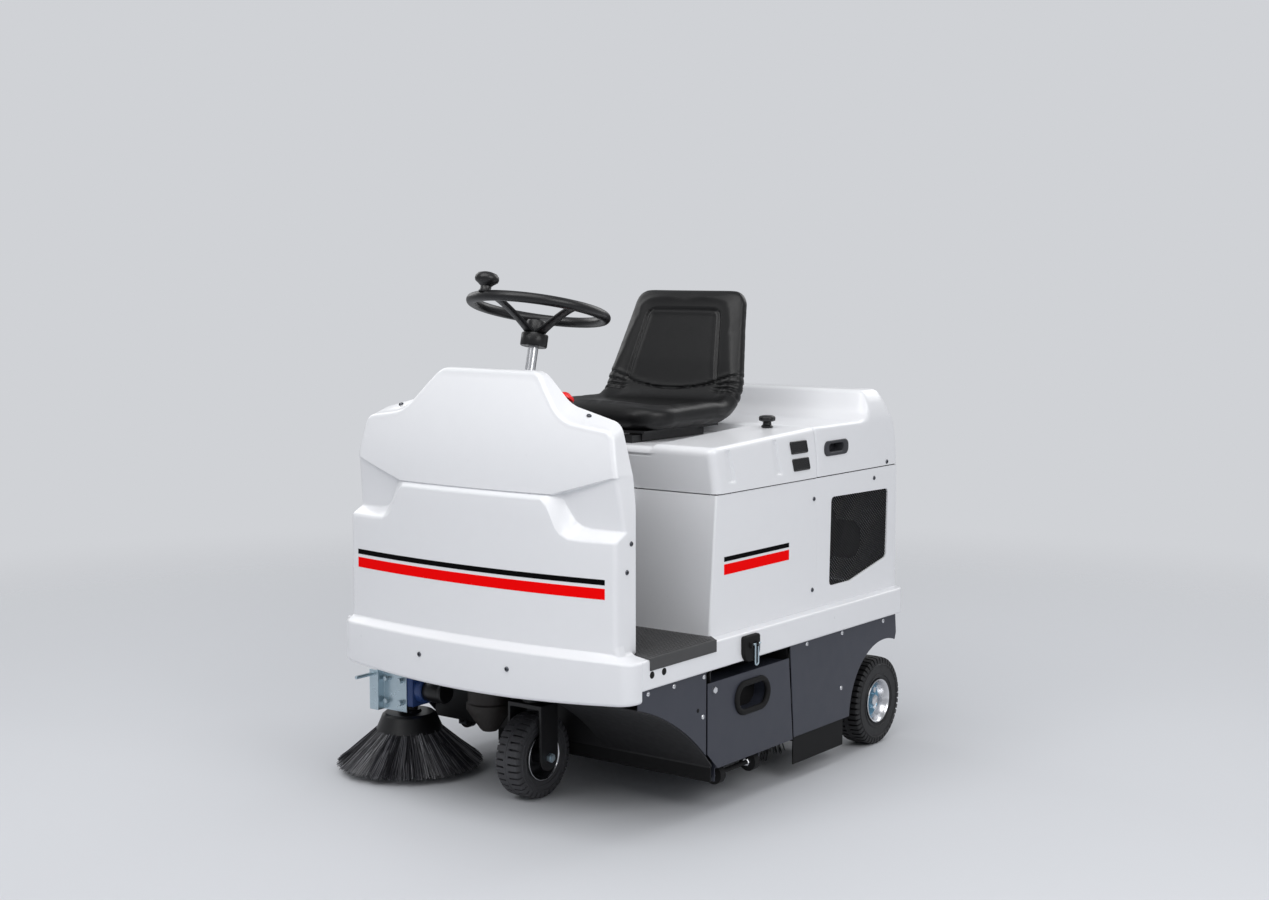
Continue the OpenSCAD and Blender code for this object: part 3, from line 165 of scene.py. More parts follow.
class Form:
    """Points in machine millimetres and the faces that join them."""

    def __init__(self):
        self.points = []
        self.faces = []

    def add(self, points, faces):
        """Points and faces that count them from 0."""
        base = len(self.points)
        self.points.extend(tuple(p) for p in np.asarray(points, float))
        self.faces.extend(tuple(base + i for i in face) for face in faces)
        return self

    def sheet(self, grid, wrap_rows=False, wrap_columns=False):
        """Skin through rows of points."""
        grid = np.asarray(grid, float)
        rows, columns = grid.shape[:2]
        return self.add(grid.reshape(-1, 3), sheet_faces(rows, columns, wrap_rows, wrap_columns))

    def loft(self, rings, closed=False):
        """Skin through closed rings, capped at both ends unless the rings close on themselves."""
        rings = np.asarray(rings, float)
        count, size = rings.shape[:2]
        faces = sheet_faces(count, size, closed, True)
        if not closed:
            faces.append(tuple(range(size))[::-1])
            faces.append(tuple((count - 1) * size + i for i in range(size)))
        return self.add(rings.reshape(-1, 3), faces)

    def turned(self, profile, at, axis=(0, 0, 1), steps=40):
        """Profile of (radius, height) turned about an axis through a point."""
        profile = np.asarray(profile, float)
        angles = round_angles(steps)
        ring = np.stack([np.cos(angles), np.sin(angles)], 1)
        grid = np.zeros((len(profile), steps, 3))
        grid[:, :, :2] = profile[:, None, :1] * ring[None]
        grid[:, :, 2] = profile[:, None, 1]
        grid = grid @ axis_turn(axis).T + np.asarray(at, float)
        return self.sheet(grid, False, True)

    def hoop(self, path, radius, axis, sides=12):
        """Round bar along a closed path in a plane square to the axis."""
        path = np.asarray(path, float)
        along = np.roll(path, -1, 0) - np.roll(path, 1, 0)
        along /= np.linalg.norm(along, axis=1)[:, None]
        side = np.cross(along, np.array(axis, float))
        side /= np.linalg.norm(side, axis=1)[:, None]
        top = np.cross(side, along)
        angles = round_angles(sides)
        sideways = np.cos(angles)[None, :, None] * side[:, None]
        upwards = np.sin(angles)[None, :, None] * top[:, None]
        return self.loft(path[:, None] + radius * (sideways + upwards), True)

    def block(self, low, high, edge=0.0):
        """Box between two corners with rounded edges."""
        low, high = np.array(low, float), np.array(high, float)
        bm = bmesh.new()
        bmesh.ops.create_cube(bm, size=1.0)
        for v in bm.verts:
            v.co = Vector((low + high) / 2 + np.array(v.co) * (high - low))
        if edge:
            bmesh.ops.bevel(bm, geom=bm.edges[:], offset=edge, segments=2, profile=0.5, affect="EDGES")
        bm.verts.index_update()
        self.add([v.co for v in bm.verts], [[v.index for v in f.verts] for f in bm.faces])
        bm.free()
        return self

    def mesh(self, name):
        """The form as a mesh in the part's frame."""
        mesh = bpy.data.meshes.new(name)
        mesh.from_pydata(place(self.points).tolist(), [], self.faces)
        return mesh

    def piece(self, name, slot, body, *nodes, smooth=40, own_finish=None):
        """The form as a finished piece."""
        return settle(name, self.mesh(name), slot, body, *nodes, smooth=smooth, own_finish=own_finish)


def clean(mesh, weld=True, recalc=True):
    """Welds a mesh's doubled points and turns its faces outward."""
    bm = bmesh.new()
    bm.from_mesh(mesh)
    if weld:
        bmesh.ops.remove_doubles(bm, verts=bm.verts, dist=1e-6)
    if recalc:
        bmesh.ops.recalc_face_normals(bm, faces=bm.faces)
    bm.to_mesh(mesh)
    bm.free()


def settle(name, mesh, slot, body, *nodes, smooth=40, recalc=True, own_finish=None):
    """Welds, smooths and paints a mesh, and lets it ride on its body in place of CAD nodes."""
    clean(mesh, recalc=recalc)
    mesh.shade_smooth()
    mesh.set_sharp_from_angle(angle=math.radians(smooth))
    mesh.materials.clear()
    mesh.materials.append(own_finish or finish(slot))
    obj = linked(name, mesh)
    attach(obj, body)
    if nodes:
        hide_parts(*nodes)
    return obj


def copy_of(node):
    """A node's mesh as joined faces in a new bmesh."""
    bm = bmesh.new()
    bm.from_mesh(frame["nodes"][node].data)
    bmesh.ops.remove_doubles(bm, verts=bm.verts, dist=1e-5)
    bmesh.ops.dissolve_limit(bm, angle_limit=math.radians(0.5), verts=bm.verts, edges=bm.edges)
    return bm


def body_of(node):
    """Name of the body that a CAD node belongs to."""
    return next(body for body, nodes in frame["record"]["behaviour"]["bodies"].items() if node in nodes)


def soften(node, edge, slot, shape=None, segments=3, own_finish=None):
    """A copy of a node, reshaped point by point if asked, stands for it with rounded edges."""
    name = node + "_rounded"
    bm = copy_of(node)
    if shape:
        for v in bm.verts:
            v.co = Vector(place(shape(np.array(v.co) / MM - SHIFT)))
    mesh = bpy.data.meshes.new(name)
    bm.to_mesh(mesh)
    bm.free()
    rough = linked("rough", mesh)
    bevel = rough.modifiers.new("edges", "BEVEL")
    bevel.width = edge * MM
    bevel.segments = segments
    bevel.limit_method = "ANGLE"
    bevel.angle_limit = math.radians(35)
    bevel.miter_outer = "MITER_ARC"
    done = plain_mesh(rough, name)
    return flat_faces(settle(name, done, slot, body_of(node), node, recalc=False, own_finish=own_finish))


def flat_faces(obj):
    """Shades an object's broad faces flat and leaves the rounding to its narrow ones."""
    weigh = obj.modifiers.new("weigh", "WEIGHTED_NORMAL")
    weigh.keep_sharp = True
    mesh = bpy.data.meshes.new_from_object(obj.evaluated_get(bpy.context.evaluated_depsgraph_get()))
    obj.modifiers.clear()
    obj.data = mesh
    return obj


def plain_mesh(obj, name):
    """What an object's modifiers make, as a new mesh; the object is removed."""
    graph = bpy.context.evaluated_depsgraph_get()
    mesh = bpy.data.meshes.new_from_object(obj.evaluated_get(graph))
    mesh.name = name
    bpy.data.objects.remove(obj)
    return mesh


def rounded_path(corners, arc=8, straight=1):
    """Open outline through corners of (x, y, radius): a set count of points in each arc and straight."""
    corners = [np.array(c, float) for c in corners]
    runs = [[corners[0][:2]]]
    for before, c, after in zip(corners, corners[1:], corners[2:]):
        if c[2] == 0:
            runs.append([c[:2]])
            continue
        a, b = before[:2] - c[:2], after[:2] - c[:2]
        near, room = np.linalg.norm(a), np.linalg.norm(b)
        a, b = a / near, b / room
        half = math.acos(np.clip(a @ b, -0.9999, 0.9999)) / 2
        reach = min(c[2] / math.tan(half), 0.45 * near, 0.45 * room)
        radius = reach * math.tan(half)
        middle = c[:2] + (a + b) / np.linalg.norm(a + b) * radius / math.sin(half)
        first, last = c[:2] + a * reach - middle, c[:2] + b * reach - middle
        sign = np.sign(first[0] * last[1] - first[1] * last[0])
        run = []
        for t in np.linspace(0, math.pi - 2 * half, arc + 1):
            cosine, sine = math.cos(t), math.sin(t) * sign
            run.append(middle + (first[0] * cosine - first[1] * sine, first[0] * sine + first[1] * cosine))
        runs.append(run)
    runs.append([corners[-1][:2]])
    out = [runs[0][0]]
    for before, run in zip(runs, runs[1:]):
        out += [before[-1] + (run[0] - before[-1]) * t for t in np.linspace(0, 1, straight + 1)[1:-1]]
        out += run
    return np.array(out)


def resample(path, count):
    """The path with evenly spaced points."""
    length = np.concatenate([[0], np.cumsum(np.linalg.norm(np.diff(path, axis=0), axis=1))])
    at = np.linspace(0, length[-1], count)
    return np.stack([np.interp(at, length, path[:, i]) for i in range(path.shape[1])], 1)


def rounded_loop(corners, arc=6):
    """Closed outline through corners of (x, y, radius)."""
    return rounded_path([corners[-1], *corners, corners[0]], arc)[1:-1]


def path_normals(path):
    """Directions square to a flat path at its points, towards its left."""
    along = np.gradient(path, axis=0)
    along /= np.linalg.norm(along, axis=1)[:, None]
    return np.column_stack([-along[:, 1], along[:, 0]])


def side_plate(outline, x, side=1):
    """An outline of (y, z) set at a distance from the middle on either side."""
    return np.column_stack([np.full(len(outline), side * x), outline])


def ease(t):
    """Smooth run from 0 to 1."""
    t = np.clip(t, 0.0, 1.0)
    return t * t * (3 - 2 * t)


def round_off(distance, radius):
    """How far a rounded edge falls away at a distance from its end."""
    return radius - math.sqrt(radius ** 2 - max(0.0, radius - distance) ** 2)


def working_copy(form, name, weld=True):
    """A form as an object in the scene, its normals outward, for modifiers to work on."""
    mesh = form.mesh(name)
    clean(mesh, weld)
    return linked(name, mesh)


def shell(form, name, slot, body, *nodes, cutter=None):
    """An open skin given a wall inwards, with holes cut by another form."""
    skin = working_copy(form, name)
    solid = skin.modifiers.new("wall", "SOLIDIFY")
    solid.thickness = SKIN_WALL * MM
    solid.offset = -1
    tool = working_copy(cutter, "cutter") if cutter else None
    if tool:
        holes = skin.modifiers.new("holes", "BOOLEAN")
        holes.operation = "DIFFERENCE"
        holes.solver = "EXACT"
        holes.object = tool
    done = plain_mesh(skin, name)
    if tool:
        bpy.data.objects.remove(tool)
    return settle(name, done, slot, body, *nodes, smooth=50, recalc=False)


def mirrored_skin(rows):
    """Skin through rows of points, each run on by its mirror image, with the first and last row closed."""
    rows = [np.concatenate([row, row[::-1] * (-1, 1, 1)]) for row in rows]
    form = Form().sheet(rows)
    count = len(rows[0])
    for base in (0, count * (len(rows) - 1)):
        for i in range((count - 1) // 2):
            face = (i, i + 1, count - 2 - i, count - 1 - i)
            form.faces.append(tuple(base + k for k in dict.fromkeys(face)))
    return form


def oval_path(width, height, count=64):
    """Closed stadium outline about the origin, as (across, up)."""
    r = min(width, height) / 2
    reach = max(width, height) / 2 - r
    t = round_angles(count)
    along = np.cos(t) * r + reach * np.sign(np.cos(t))
    across = np.sin(t) * r
    return np.stack([along, across] if width >= height else [across, along], 1)


# Geometry Nodes: one pattern set at many stations


def station_tree():
    """Node tree that sets a pattern object on every point, turned and sized by the point's attributes."""
    tree = bpy.data.node_groups.get("set_on_points")
    if tree:
        return tree
    tree = bpy.data.node_groups.new("set_on_points", "GeometryNodeTree")
    face = tree.interface
    face.new_socket("Points", in_out="INPUT", socket_type="NodeSocketGeometry")
    face.new_socket("Pattern", in_out="INPUT", socket_type="NodeSocketObject")
    face.new_socket("Finish", in_out="INPUT", socket_type="NodeSocketMaterial")
    face.new_socket("Result", in_out="OUTPUT", socket_type="NodeSocketGeometry")
    make, link = tree.nodes.new, tree.links.new
    given, result = make("NodeGroupInput"), make("NodeGroupOutput")
    pattern, on_points = make("GeometryNodeObjectInfo"), make("GeometryNodeInstanceOnPoints")
    turn, size = make("GeometryNodeInputNamedAttribute"), make("GeometryNodeInputNamedAttribute")
    turning = make("FunctionNodeEulerToRotation")
    realize, paint = make("GeometryNodeRealizeInstances"), make("GeometryNodeSetMaterial")
    for node, name in ((turn, "turn"), (size, "size")):
        node.data_type = "FLOAT_VECTOR"
        node.inputs["Name"].default_value = name
    link(given.outputs["Points"], on_points.inputs["Points"])
    link(given.outputs["Pattern"], pattern.inputs["Object"])
    link(pattern.outputs["Geometry"], on_points.inputs["Instance"])
    link(turn.outputs["Attribute"], turning.inputs["Euler"])
    link(turning.outputs["Rotation"], on_points.inputs["Rotation"])
    link(size.outputs["Attribute"], on_points.inputs["Scale"])
    link(on_points.outputs["Instances"], realize.inputs["Geometry"])
    link(realize.outputs["Geometry"], paint.inputs["Geometry"])
    link(given.outputs["Finish"], paint.inputs["Material"])
    link(paint.outputs["Geometry"], result.inputs["Result"])
    return tree


def set_at(name, pattern, stations, slot, body, *nodes, smooth=40, own_finish=None):
    """A pattern form, in its own millimetres, set at stations."""
    mesh = bpy.data.meshes.new("stations")
    mesh.from_pydata(place([s[0] for s in stations]).tolist(), [], [])
    for key, index in (("turn", 1), ("size", 2)):
        values = np.array([s[index] for s in stations], "f").ravel()
        mesh.attributes.new(key, "FLOAT_VECTOR", "POINT").data.foreach_set("vector", values)
    shape = bpy.data.meshes.new("pattern")
    shape.from_pydata((np.array(pattern.points) * MM).tolist(), [], pattern.faces)
    shape.update()
    model = linked("pattern", shape)
    spots = linked("stations", mesh)
    modifier = spots.modifiers.new("set", "NODES")
    modifier.node_group = tree = station_tree()
    keys = {item.name: item.identifier for item in tree.interface.items_tree if item.in_out == "INPUT"}
    modifier[keys["Pattern"]] = model
    modifier[keys["Finish"]] = own_finish or finish(slot)
    spots.update_tag()
    bpy.context.view_layer.update()
    done = plain_mesh(spots, name)
    bpy.data.objects.remove(model)
    return settle(name, done, slot, body, *nodes, smooth=smooth, own_finish=own_finish)


def station(point, axis, size=(1, 1, 1)):
    """Where a pattern stands: its point, the Euler angles that take +Z to the axis, and its size."""
    turn = Vector((0, 0, 1)).rotation_difference(Vector(axis)).to_matrix()
    return (point, tuple(turn.to_euler()), size)


# Finishes


def linear(*srgb):
    """Colour written as 0 to 255 display values, as the shader takes it."""
    return tuple((v / 255 / 12.92) if v <= 10 else ((v / 255 + 0.055) / 1.055) ** 2.4 for v in srgb)


def surface(name, colour, rough, metal=0.0, coat=0.0, mottle=0.0, mottle_scale=30.0,
            wear=0.0, bump=0.0, bump_scale=600.0, specular=0.5):
    """Principled finish with a faint mottle in its colour, wear in its gloss and grain in its surface."""
    mat = bpy.data.materials.new(name)
    mat.use_nodes = True
    nodes, link = mat.node_tree.nodes, mat.node_tree.links.new
    shader = nodes["Principled BSDF"]
    for key, value in (("Base Color", (*colour, 1)), ("Roughness", rough), ("Metallic", metal),
                       ("Coat Weight", coat), ("Coat Roughness", 0.12), ("Specular IOR Level", specular)):
        shader.inputs[key].default_value = value
    mat.diffuse_color = (*colour, 1)
    where = nodes.new("ShaderNodeTexCoord").outputs["Object"]

    def noise(scale, detail):
        node = nodes.new("ShaderNodeTexNoise")
        node.inputs["Scale"].default_value = scale
        node.inputs["Detail"].default_value = detail
        link(where, node.inputs["Vector"])
        return node.outputs["Fac"]

    if mottle:
        mix = nodes.new("ShaderNodeMix")
        mix.data_type = "RGBA"
        mix.inputs["A"].default_value = (*[c * (1 - mottle) for c in colour], 1)
        mix.inputs["B"].default_value = (*[min(1, c * (1 + mottle)) for c in colour], 1)
        link(noise(mottle_scale, 4), mix.inputs["Factor"])
        link(mix.outputs["Result"], shader.inputs["Base Color"])
    if wear:
        span = nodes.new("ShaderNodeMapRange")
        span.inputs["To Min"].default_value = max(0.02, rough - wear)
        span.inputs["To Max"].default_value = min(1, rough + wear)
        link(noise(mottle_scale * 2, 5), span.inputs["Value"])
        link(span.outputs["Result"], shader.inputs["Roughness"])
    if bump:
        grain = nodes.new("ShaderNodeBump")
        grain.inputs["Strength"].default_value = bump
        grain.inputs["Distance"].default_value = 0.6 * MM
        link(noise(bump_scale, 3), grain.inputs["Height"])
        link(grain.outputs["Normal"], shader.inputs["Normal"])
    return mat


def finish(slot):
    """The finish of a material slot, made on first use."""
    found = bpy.data.materials.get(slot + "_finish")
    if found:
        return found
    look = bpy.context.scene.sweeper_look
    body, panel, accent = tuple(look.body_colour), tuple(look.panel_colour), tuple(look.accent_colour)
    gear = tuple(look.gear_colour)
    kinds = {
        "white_cover": dict(colour=body, rough=0.3, coat=0.25, wear=0.05, mottle=0.01),
        "white_paint": dict(colour=body, rough=0.3, coat=0.25, wear=0.05, mottle=0.01),
        "grey_paint": dict(colour=panel, rough=0.42, wear=0.08, mottle=0.06, mottle_scale=12, bump=0.05),
        "frame_paint": dict(colour=linear(24, 24, 26), rough=0.5, wear=0.1),
        "black_plastic": dict(colour=linear(20, 20, 22), rough=0.36, bump=0.1, bump_scale=900),
        "dash_plastic": dict(colour=linear(52, 53, 58), rough=0.55, bump=0.15, bump_scale=900),
        "black_rubber": dict(colour=linear(22, 22, 23), rough=0.72, specular=0.25, bump=0.1, mottle=0.08),
        "tyre_rubber": dict(colour=linear(42, 42, 45), rough=0.58, wear=0.1, mottle=0.12, bump=0.12),
        "zinc_steel": dict(colour=linear(186, 203, 212), rough=0.3, metal=0.8, wear=0.1, mottle=0.06),
        "bright_steel": dict(colour=linear(222, 223, 226), rough=0.24, metal=1.0, wear=0.05),
        "cast_metal": dict(colour=linear(48, 44, 42), rough=0.6, metal=0.2, bump=0.2, mottle=0.1),
        "gear_blue": dict(colour=gear, rough=0.4, wear=0.08, mottle=0.05),
        "vinyl": dict(colour=linear(12, 12, 13), rough=0.4, specular=0.38, wear=0.07, bump=0.25,
                      bump_scale=420),
        "red_plastic": dict(colour=accent, rough=0.38, coat=0.2, wear=0.04),
        # Black filaments drawn lighter and strongly mottled: painted highlight on the lit strands.
        "bristle": dict(colour=linear(50, 50, 54), rough=0.38, mottle=0.3, mottle_scale=60),
        "filter_cloth": dict(colour=linear(196, 194, 186), rough=0.95, bump=0.3),
        "bronze": dict(colour=linear(168, 128, 74), rough=0.35, metal=1.0, wear=0.08),
    }
    return surface(slot + "_finish", **kinds[slot])


# Front fairing


def bow(x):
    """How far the fairing's bowed front lies behind its middle."""
    return BOW_R - np.sqrt(BOW_R ** 2 - np.square(x))


def upper_y(x, z):
    """Front of the upper panel, which curves back as it rises."""
    return CREASE_Y + bow(x) + PANEL_CURVE * np.square(z - CREASE_Z)


def crease_z(x):
    """Height of the crease below the upper panel: level in the middle, rising to the sides."""
    return np.interp(abs(x), (256, 272, 430), (841, 846, 890))


def side_x(z):
    """Half width of the fairing's front face at a height, inside its rounded edge."""
    return np.interp(z, (745, 888), (FAIRING_X, FAIRING_X - 10)) - FAIRING_EDGE


def lower_column(x):
    """Points of the lower panel, its sloping ledge, the pocket and the crease at nominal half width x."""
    far = abs(x)
    front = PANEL_Y + bow(x)
    crease = crease_z(x)
    outer = np.interp(far, (234, 249, 262, 272, 285, 308, 440), (831, 814, 786, 762, 747, 738, 739))
    inner = np.interp(far, (252, 266, 280, 291, 308, 327, 351, 440),
                      (836, 834, 829, 806, 777, 765, 760, 757))
    inner = min(inner, crease - 5)
    depth = np.interp(far, (0, 240, 280, 310), (13, 14, 30, 38))
    under = np.interp(far, (258, 275, 300, 430), (6, 16, 13, 3))
    foot = [(front, z) for z in (456, 463, 470)]
    fold = (upper_y(x, crease) + under, crease - 3)
    path = rounded_path([(front, 480, 0), (front, outer, 14), (front + depth, inner, 7), (*fold, 2),
                         (upper_y(x, crease), crease, 0)], arc=7, straight=8)
    return [(x * side_x(z) / side_x(0), y, z) for y, z in [*foot, *path]]


def fairing_form():
    """The fairing's front with its rounded edge, walls that spread to the rear, and closed back."""
    half = np.concatenate([np.linspace(0, 222, 18), np.linspace(228, 336, 30), np.linspace(343, 426, 12)])
    columns = np.concatenate([-half[:0:-1], half])
    lower = np.array([lower_column(x) for x in columns])
    front_half = [(430, 889, 0), (407, 1000, 34), (262, 1020, 110), (162, 1132, 52)]
    rear_half = [(432, 889, 0), (398, 1014, 40), (246, 1052, 95), (163, 1132, 58)]
    front, rear = (rounded_path([(-x, z, r) for x, z, r in side] + side[::-1], arc=8, straight=10)
                   for side in (front_half, rear_half))
    normal = path_normals(front)
    normal[0], normal[-1] = (-1, 0), (1, 0)
    crease = lower[:, -1, :][:, (0, 2)]
    inset = front - normal * FAIRING_EDGE
    inset[0], inset[-1] = crease[0], crease[-1]
    rows = []
    for t in np.linspace(0, 1, 34) ** 1.2:
        flat = crease * (1 - t) + inset * t
        rows.append(np.stack([flat[:, 0], upper_y(flat[:, 0], flat[:, 1]), flat[:, 1]], 1))
    upper = np.array(rows)
    form = Form()
    form.sheet(np.transpose(lower, (1, 0, 2))[:, ::-1])
    form.sheet(upper[:, ::-1])
    # closed boundary: foot, left side, top, right side, and where each point ends at the rear
    foot = lower[::-1, 0]
    left, right = lower[0, 1:], lower[-1, ::-1][1:-1]
    top = upper[-1][1:]
    edge = np.concatenate([foot, left, top, right])
    out = np.concatenate([np.tile((0, 0, -1.0), (len(foot), 1)), np.tile((-1.0, 0, 0), (len(left), 1)),
                          np.stack([normal[1:, 0], 0 * normal[1:, 0], normal[1:, 1]], 1),
                          np.tile((1.0, 0, 0), (len(right), 1))])
    wide = [np.interp(side[:, 2], (816, 889), (FAIRING_X, FAIRING_X - 8)) for side in (left, right)]
    rim = np.concatenate([foot - (0, 0, FAIRING_EDGE), np.stack([-wide[0], wide[0], left[:, 2]], 1),
                          np.stack([rear[1:, 0], rear[1:, 0], rear[1:, 1]], 1),
                          np.stack([wide[1], wide[1], right[:, 2]], 1)])
    rim[:, 1] = FAIRING_REAR
    back = np.array((0, 1.0, 0))
    rings = [edge]
    for t in np.radians((15, 30, 45, 60, 75, 90)):
        rings.append(edge + FAIRING_EDGE * (math.sin(t) * out + (1 - math.cos(t)) * back))
    rings += [rings[-1] * (1 - t) + rim * t for t in (0.3, 0.65)]
    rings += [rim, rim - 5 * out, rim - 5 * out - 5 * back]
    form.sheet(np.array(rings), False, True)
    form.add(rings[-1], [tuple(range(len(edge)))])
    return form


def front_plan(front, right, left):
    """Outline round the front to the bumper's ends, as (x, y): a side is (half width, corner radius)."""
    arcs = []
    for wide, r in (right, left):
        x = wide - r
        y = front + BOW_R - math.sqrt((BOW_R - r) ** 2 - x * x)
        turn = np.linspace(0, math.atan2(y - front - BOW_R, x), 17)
        arcs.append(np.column_stack([x + r * np.cos(turn), y + r * np.sin(turn)]))
    middle = np.linspace(-390, 390, 27)
    return np.concatenate([[(-right[0], BUMPER_ENDS[0])], arcs[0] * (-1, 1),
                           np.column_stack([middle, front + bow(middle)]),
                           arcs[1][::-1], [(left[0], BUMPER_ENDS[1])]])


def flare(reach, low, inner):
    """Section from the fairing's face down a hollow flare to the bumper and under it, as (out, up)."""
    bend = BUMPER_TOP + 2 + 345 / reach
    return rounded_path([(-1.5, 494, 0), (-1.5, bend, 13 + 0.35 * (reach - 23)), (reach, BUMPER_TOP, 9),
                         (reach, low, 10), (inner, low, 0), (inner - 4, low + 14, 0)])


def bumper_form():
    """Bumper swept round the front, its lower edge dipping in the middle, flared to join the fairing."""
    form = Form()
    rings = []
    fairing_side = (FAIRING_X, FAIRING_EDGE)
    for inner, outer in zip(front_plan(PANEL_Y, fairing_side, fairing_side),
                            front_plan(BUMPER_Y, (BUMPER_RIGHT, 74), (SILL_X, 42))):
        reach = np.linalg.norm(outer - inner)
        way = (outer - inner) / reach
        section = flare(reach, 333 + 18 * (outer[0] / SILL_X) ** 2, reach - 26)
        rings.append([(*(inner + way * out), z) for out, z in section])
    form.loft(rings)
    section = flare(SILL_X - 0.5 - FAIRING_X, 432, 2)
    form.loft([[(FAIRING_X + out, y, z) for out, z in section] for y in (BUMPER_ENDS[1] - 1, BUMPER_ENDS[0])])
    return form


def stripe_form(low, high, reach=410.0, proud=0.5):
    """Thin band on the fairing's panel."""
    rings = []
    for x in np.linspace(-reach, reach, 60):
        y = PANEL_Y + float(bow(x))
        rings.append([(x, y - proud, low), (x, y - proud, high), (x, y + 1, high), (x, y + 1, low)])
    return Form().loft(rings)


def build_fairing(look):
    """Fairing and bumper in one skin, with the stripes on it and on the seat box."""
    fairing = fairing_form()
    bumper = bumper_form()
    fairing.add(bumper.points, bumper.faces)
    fairing.piece("fairing_skin", "white_cover", "chassis", "front_fairing", smooth=35)
    red = surface("red_film", tuple(look.accent_colour), 0.7, specular=0.03, wear=0.03)
    black = surface("black_film", linear(5, 5, 6), 0.7, specular=0.05, wear=0.03)
    for name, slot, film, front, side in (("black", "black_plastic", black, (634.5, 647.5), (640, 652)),
                                          ("red", "red_plastic", red, (599.5, 626), (606, 633))):
        stripe_form(*front).piece("front_stripe_" + name, slot, "chassis", own_finish=film)
        strip = Form()
        for x in (BOX_X, -BOX_X):
            strip.block((x - 0.6, -191, side[0]), (x + 0.6, 119, side[1]))
        strip.piece("side_stripe_" + name, slot, "chassis", own_finish=film)


# Driver's place


def build_steering():
    """Steering wheel with three spokes, and the spinner knob on its rim."""
    hub = centre("steering_turn")
    axis = np.array(JOINTS["steering_turn"]["axis"])
    turn = axis_turn(axis)
    rim_r, grip_r = 173.5, 14.5
    form = Form()
    angles, section = round_angles(120), round_angles(20)
    torus = np.zeros((len(angles), len(section), 3))
    ring = rim_r + grip_r * np.cos(section)
    torus[:, :, 0] = np.cos(angles)[:, None] * ring[None]
    torus[:, :, 1] = np.sin(angles)[:, None] * ring[None]
    torus[:, :, 2] = (grip_r * 0.94 * np.sin(section))[None]
    form.sheet(torus @ turn.T + hub, True, True)
    # spokes sink from the rim to the hub
    hub_r, sunk, loop = 22.0, 62.0, round_angles(16)
    spoke = []
    for t in np.linspace(0, 1, 14):
        wide, thick = 13 + 3 * abs(2 * t - 1) ** 3, 5.5
        spoke.append(np.column_stack([np.full(len(loop), hub_r + (rim_r - hub_r) * t),
                                      wide * squared(np.cos(loop), 0.6),
                                      thick * squared(np.sin(loop), 0.6) - sunk * (1 - t) ** 1.35]))
    for angle in np.radians((-17, -93, 122)):
        spin = np.array(Matrix.Rotation(angle, 3, "Z"))
        form.loft(np.array(spoke) @ spin.T @ turn.T + hub)
    form.turned([(0, -98), (33, -98), (35, -95), (35, -67), (33, -64), (26, -62), (25.5, -34), (23, -30),
                 (0, -29)], hub, axis, 48)
    form.piece("steering_wheel_moulding", "black_plastic", "steering", "steering_wheel")
    ball = Form().turned([(0, 8), (17, 8), (17.5, 11), (14, 16), (14, 24), (21, 30), (29, 36), (31, 42),
                          (30, 49), (24, 56), (12, 60), (0, 61)], centre("spinner_turn"), axis, 40)
    ball.piece("spinner_ball", "black_plastic", "spinner", "spinner_knob")


# Wheels


def tyre_form(at, radius, width, bore, slots, slot_share, slot_depth):
    """Tyre turned about X, with two staggered rows of slots cut crisply into its tread and shoulders."""
    half = width / 2
    bead = [(0, 14), (2, 9), (6, 6), (10, 4.5), (15, 3.2), (16, 1.0), (18, 1.0), (19, 2.8)]
    shoulder = [(24, 2), (23, 0), (21, 0), (20, 2), (12, 2.4), (8, 3.2), (4.5, 5)]
    side = [(bore + up, half - inset) for up, inset in bead]
    side.append(((bore + radius) / 2 - 2, half - 2))
    side += [(radius - down, half - inset) for down, inset in shoulder]
    rib = 7.0
    tread_x = np.concatenate([np.linspace(half - 7, rib + 0.2, 9), (rib - 0.1, 2.2, 1.2, 0)])
    tread = [(radius - 3.5 * abs(x / half) ** 3 - (1.0 if x < 2 else 0.0), x) for x in tread_x]
    profile = np.array(side + tread)
    profile = np.concatenate([profile, profile[-2::-1] * (1, -1)])
    crisp = 0.012
    marks = [0.0, slot_share, 0.5, 0.5 + slot_share]
    shares = np.array(sorted([(m + d) % 1 for m in marks for d in (-crisp, crisp)] +
                             [(a + b) / 2 for a, b in zip(marks, marks[1:] + [1.0])]))
    turns = (np.arange(slots)[:, None] + shares[None]).ravel()
    angles = turns * 2 * math.pi / slots
    radii = np.tile(profile[:, 0], (len(angles), 1))
    aside = np.tile(profile[:, 1], (len(angles), 1))
    for sign, phase in ((1, 0.0), (-1, 0.5)):
        across = (profile[:, 1] * sign > rib) & (profile[:, 0] > radius - 14)
        inside = ((turns - phase) % 1) < slot_share
        floor = radius - slot_depth + 0.08 * (profile[across, 0] - radius + 14)
        radii[np.ix_(inside, across)] = np.minimum(profile[across, 0], floor)
        aside[np.ix_(inside, across)] = sign * np.minimum(np.abs(profile[across, 1]), half - 6)
    grid = np.zeros((len(angles), len(profile), 3))
    grid[:, :, 0] = at[0] + aside
    grid[:, :, 1] = at[1] + radii * np.cos(angles)[:, None]
    grid[:, :, 2] = at[2] + radii * np.sin(angles)[:, None]
    return Form().sheet(grid, True, True)


# A rim's pressing, from its hub out to its rolled lip, as (radius, height)
DISH = [(24, 7), (27, 4.5), (40, 3.5), (45, 5), (49, 10), (52, 18), (54.5, 26), (57, 31), (60, 33.5),
        (62.5, 35), (63.4, 36.6), (62.8, 38.2), (61, 38.6), (59, 36.5), (57.5, 33)]
